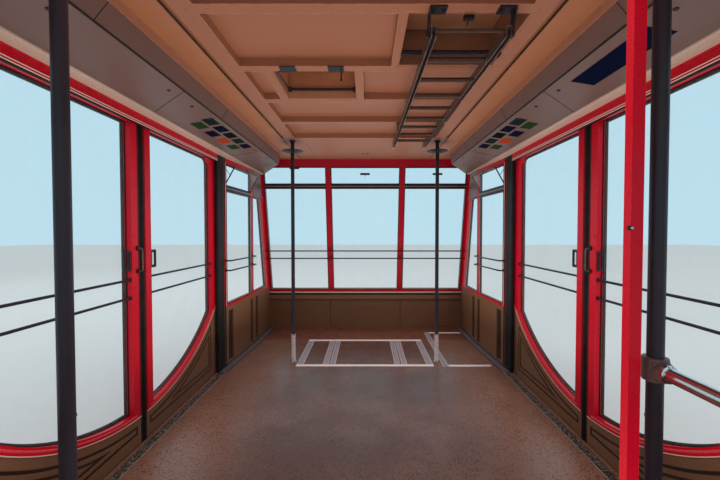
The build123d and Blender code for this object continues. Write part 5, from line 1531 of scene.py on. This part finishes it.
class CABIN_OT_outside(bpy.types.Operator):
    """Fit the outer walls' rivets, waist rails and screws, the track brackets and the bumper plates"""
    bl_idname = "cabin.outside"
    bl_label = "Outer walls"

    def execute(self, context):
        sizes = context.scene.cabin_sizes
        outward = -TAPER_IN

        def wall(y, height):
            foot = at(wall_at(y), y, height)
            return foot + (outward * 0.0320 if y < TAPER_END else Vector((0.032, 0, 0)))

        rivets = [rivet(wall(y, h), outward, sizes) for h in (0.045, 0.600)
                  for y in (1.34, 1.46, 1.58, 1.70, 1.82, 1.94, 2.06)]
        rivets += [rivet(wall(y, h), RIGHT, sizes) for h in (0.045, 0.600)
                   for y in (2.14, 2.28, 2.42, 2.56, 2.70, 2.84) if h < 0.5 or y < 2.8]
        rivets += [rivet(wall(y, h), (1, 0, 0) if y > TAPER_END else outward, sizes)
                   for y in (2.06, 2.14) for h in (0.16, 0.28, 0.40, 0.50)]
        dress(all_corners(rivets), "wall_rivets", "lining_brown")
        rail = [rod([wall(1.302, 0.641), wall(2.088, 0.641), wall(2.100, 0.641), wall(2.848, 0.641)], 0.007,
                    sides=2)]
        dress(all_corners(rail), "waist_rails", "frame_red")
        screws = [screw(wall(2.066, h), outward, sizes) for h in (0.72, 1.10, 1.50, 1.86, 2.12)]
        screws += [screw(wall(y, 2.200), outward, sizes) for y in (1.42, 1.63, 1.84, 2.01)]
        dress(all_corners(screws), "outer_frame_screws", "bar_black")

        stays = [slab([at(x, y, h) for x, h in ((1.524, -0.066), (1.550, -0.066), (1.528, -0.020))],
                      (0, 0.012, 0), 0.001) for y in (-1.1, -0.6, -0.1, 0.4, 0.9)]
        stays += [slab([at(x, y, h) for x, h in ((1.524, 2.290), (1.540, 2.290), (1.526, 2.330))],
                       (0, 0.012, 0), 0.001) for y in (-0.75, -0.05, 0.65)]
        dress(both_sides(stays), "track_brackets", "strip_metal")
        plates = [block(at(side * 0.95, 2.9475, -0.100), (0.180, 0.010, 0.126), 0.003) for side in (1, -1)]
        plates += [block(at(0, 2.9475, -0.100), (0.180, 0.010, 0.126), 0.003)]
        bolts = [hexagon(at(x + dx, 2.951, -0.100 + dh), AHEAD, 0.008, 0.010) for x in (-0.95, 0, 0.95)
                 for dx in (-0.075, 0.075) for dh in (-0.053, 0.053)]
        dress(both_ends(plates + bolts), "bumper_plates", "frame_grey")
        return {"FINISHED"}


class CABIN_OT_studio(bpy.types.Operator):
    """Set the pale floor, soft lights, background and camera"""
    bl_idname = "cabin.studio"
    bl_label = "Studio"

    stage_level = -6.80
    eye = at(0.016, -2.412, 1.45)
    eye_tilt = math.radians(88.65)
    lens = 17.5
    lens_shift = -0.0089

    def lamp(self, name, place, aim, size, power, colour):
        lamp = bpy.data.lights.new(name, "AREA")
        lamp.energy = power
        lamp.color = colour
        lamp.size = size
        holder = bpy.data.objects.new(name, lamp)
        holder.location = place
        holder.rotation_euler = (Vector(aim) - Vector(place)).to_track_quat("-Z", "Y").to_euler()
        holder.visible_camera = False
        holder.visible_glossy = False
        bpy.context.scene.collection.objects.link(holder)

    def execute(self, context):
        scene = context.scene
        tint = scene.cabin_colours
        deselect_all()
        bpy.ops.mesh.primitive_plane_add(size=scene.cabin_sizes.stage_size, location=(0, 0, self.stage_level))
        floor = settle(context.object)
        floor.name = "studio_floor"
        material = bpy.data.materials.new("studio floor")
        material.use_nodes = True
        tree = material.node_tree
        shader = tree.nodes["Principled BSDF"]
        place = add_node(tree, "ShaderNodeTexCoord").outputs["Object"]
        cloud = use(tree, "mottling", Vector=place, Scale=0.15, Softness=0.3)
        feed(tree, shader.inputs["Base Color"], blend(tree, cloud, (0.66, 0.76, 0.80), (0.62, 0.73, 0.78)))
        shader.inputs["Roughness"].default_value = 0.9
        floor.data.materials.append(material)

        world = bpy.data.worlds.new("studio daylight")
        scene.world = world
        world.use_nodes = True
        tree = world.node_tree
        tree.nodes.clear()
        rays = add_node(tree, "ShaderNodeLightPath")
        seen = rays.outputs["Is Camera Ray"]
        for label in ("Is Glossy Ray", "Is Transmission Ray"):
            seen = calc(tree, "MAXIMUM", seen, rays.outputs[label])
        backdrop = add_node(tree, "ShaderNodeBackground")
        backdrop.inputs["Color"].default_value = (*tint.daylight, 1)
        light = add_node(tree, "ShaderNodeBackground")
        light.inputs["Color"].default_value = (1.0, 0.97, 0.94, 1)
        light.inputs["Strength"].default_value = 0.80
        either = add_node(tree, "ShaderNodeMixShader")
        tree.links.new(seen, either.inputs[0])
        tree.links.new(light.outputs[0], either.inputs[1])
        tree.links.new(backdrop.outputs[0], either.inputs[2])
        tree.links.new(either.outputs[0], add_node(tree, "ShaderNodeOutputWorld").inputs[0])

        warm, white = (1.0, 0.86, 0.74), (1, 1, 1)
        for y in (1.2, -1.2):
            self.lamp("inside lamp", at(0, y, 2.25), at(0, y, 0), 1.5, 10, warm)
            self.lamp("upward light", at(0, y, 0.30), at(0, y, 2), 2.0, 26, warm)
        self.lamp("key light", (9, -9, 5), (0, 0, -4), 7, 450, white)
        self.lamp("fill light", (-9, 8, 4), (0, 0, -4), 7, 260, white)

        view = bpy.data.cameras.new("camera")
        view.sensor_width = 36
        view.lens = self.lens
        view.clip_start = 0.02
        view.clip_end = 300
        view.shift_x = self.lens_shift
        camera = bpy.data.objects.new("camera", view)
        scene.collection.objects.link(camera)
        camera.location = self.eye
        camera.rotation_euler = (self.eye_tilt, 0, 0)
        scene.camera = camera
        scene.view_settings.view_transform = "Standard"
        return {"FINISHED"}


OPERATORS = (CABIN_OT_finishes, CABIN_OT_ceiling, CABIN_OT_housings, CABIN_OT_ladder, CABIN_OT_poles,
             CABIN_OT_side_windows, CABIN_OT_end_windows, CABIN_OT_rails, CABIN_OT_doors, CABIN_OT_headers,
             CABIN_OT_floor, CABIN_OT_attendant, CABIN_OT_roof, CABIN_OT_hanger, CABIN_OT_outside,
             CABIN_OT_studio)


class CABIN_PT_dresser(bpy.types.Panel):
    """The cabin's finishes, pieces and studio, in the order in which they are made"""
    bl_idname = "CABIN_PT_dresser"
    bl_label = "Tramway Cabin"
    bl_space_type = "VIEW_3D"
    bl_region_type = "UI"
    bl_category = "Cabin"

    def draw(self, context):
        for group in (context.scene.cabin_sizes, context.scene.cabin_colours):
            column = self.layout.column(align=True)
            for label in group.__annotations__:
                column.prop(group, label)
        for operator in OPERATORS:
            self.layout.operator(operator.bl_idname)


CLASSES = (CabinSizes, CabinColours) + OPERATORS + (CABIN_PT_dresser,)


def register():
    for item in CLASSES:
        bpy.utils.register_class(item)
    bpy.types.Scene.cabin_sizes = bpy.props.PointerProperty(type=CabinSizes)
    bpy.types.Scene.cabin_colours = bpy.props.PointerProperty(type=CabinColours)


def unregister():
    del bpy.types.Scene.cabin_colours
    del bpy.types.Scene.cabin_sizes
    for item in reversed(CLASSES):
        bpy.utils.unregister_class(item)


def main():
    register()
    for operator in OPERATORS:
        group, name = operator.bl_idname.split(".")
        getattr(getattr(bpy.ops, group), name)()


if __name__ == "__main__":
    main()
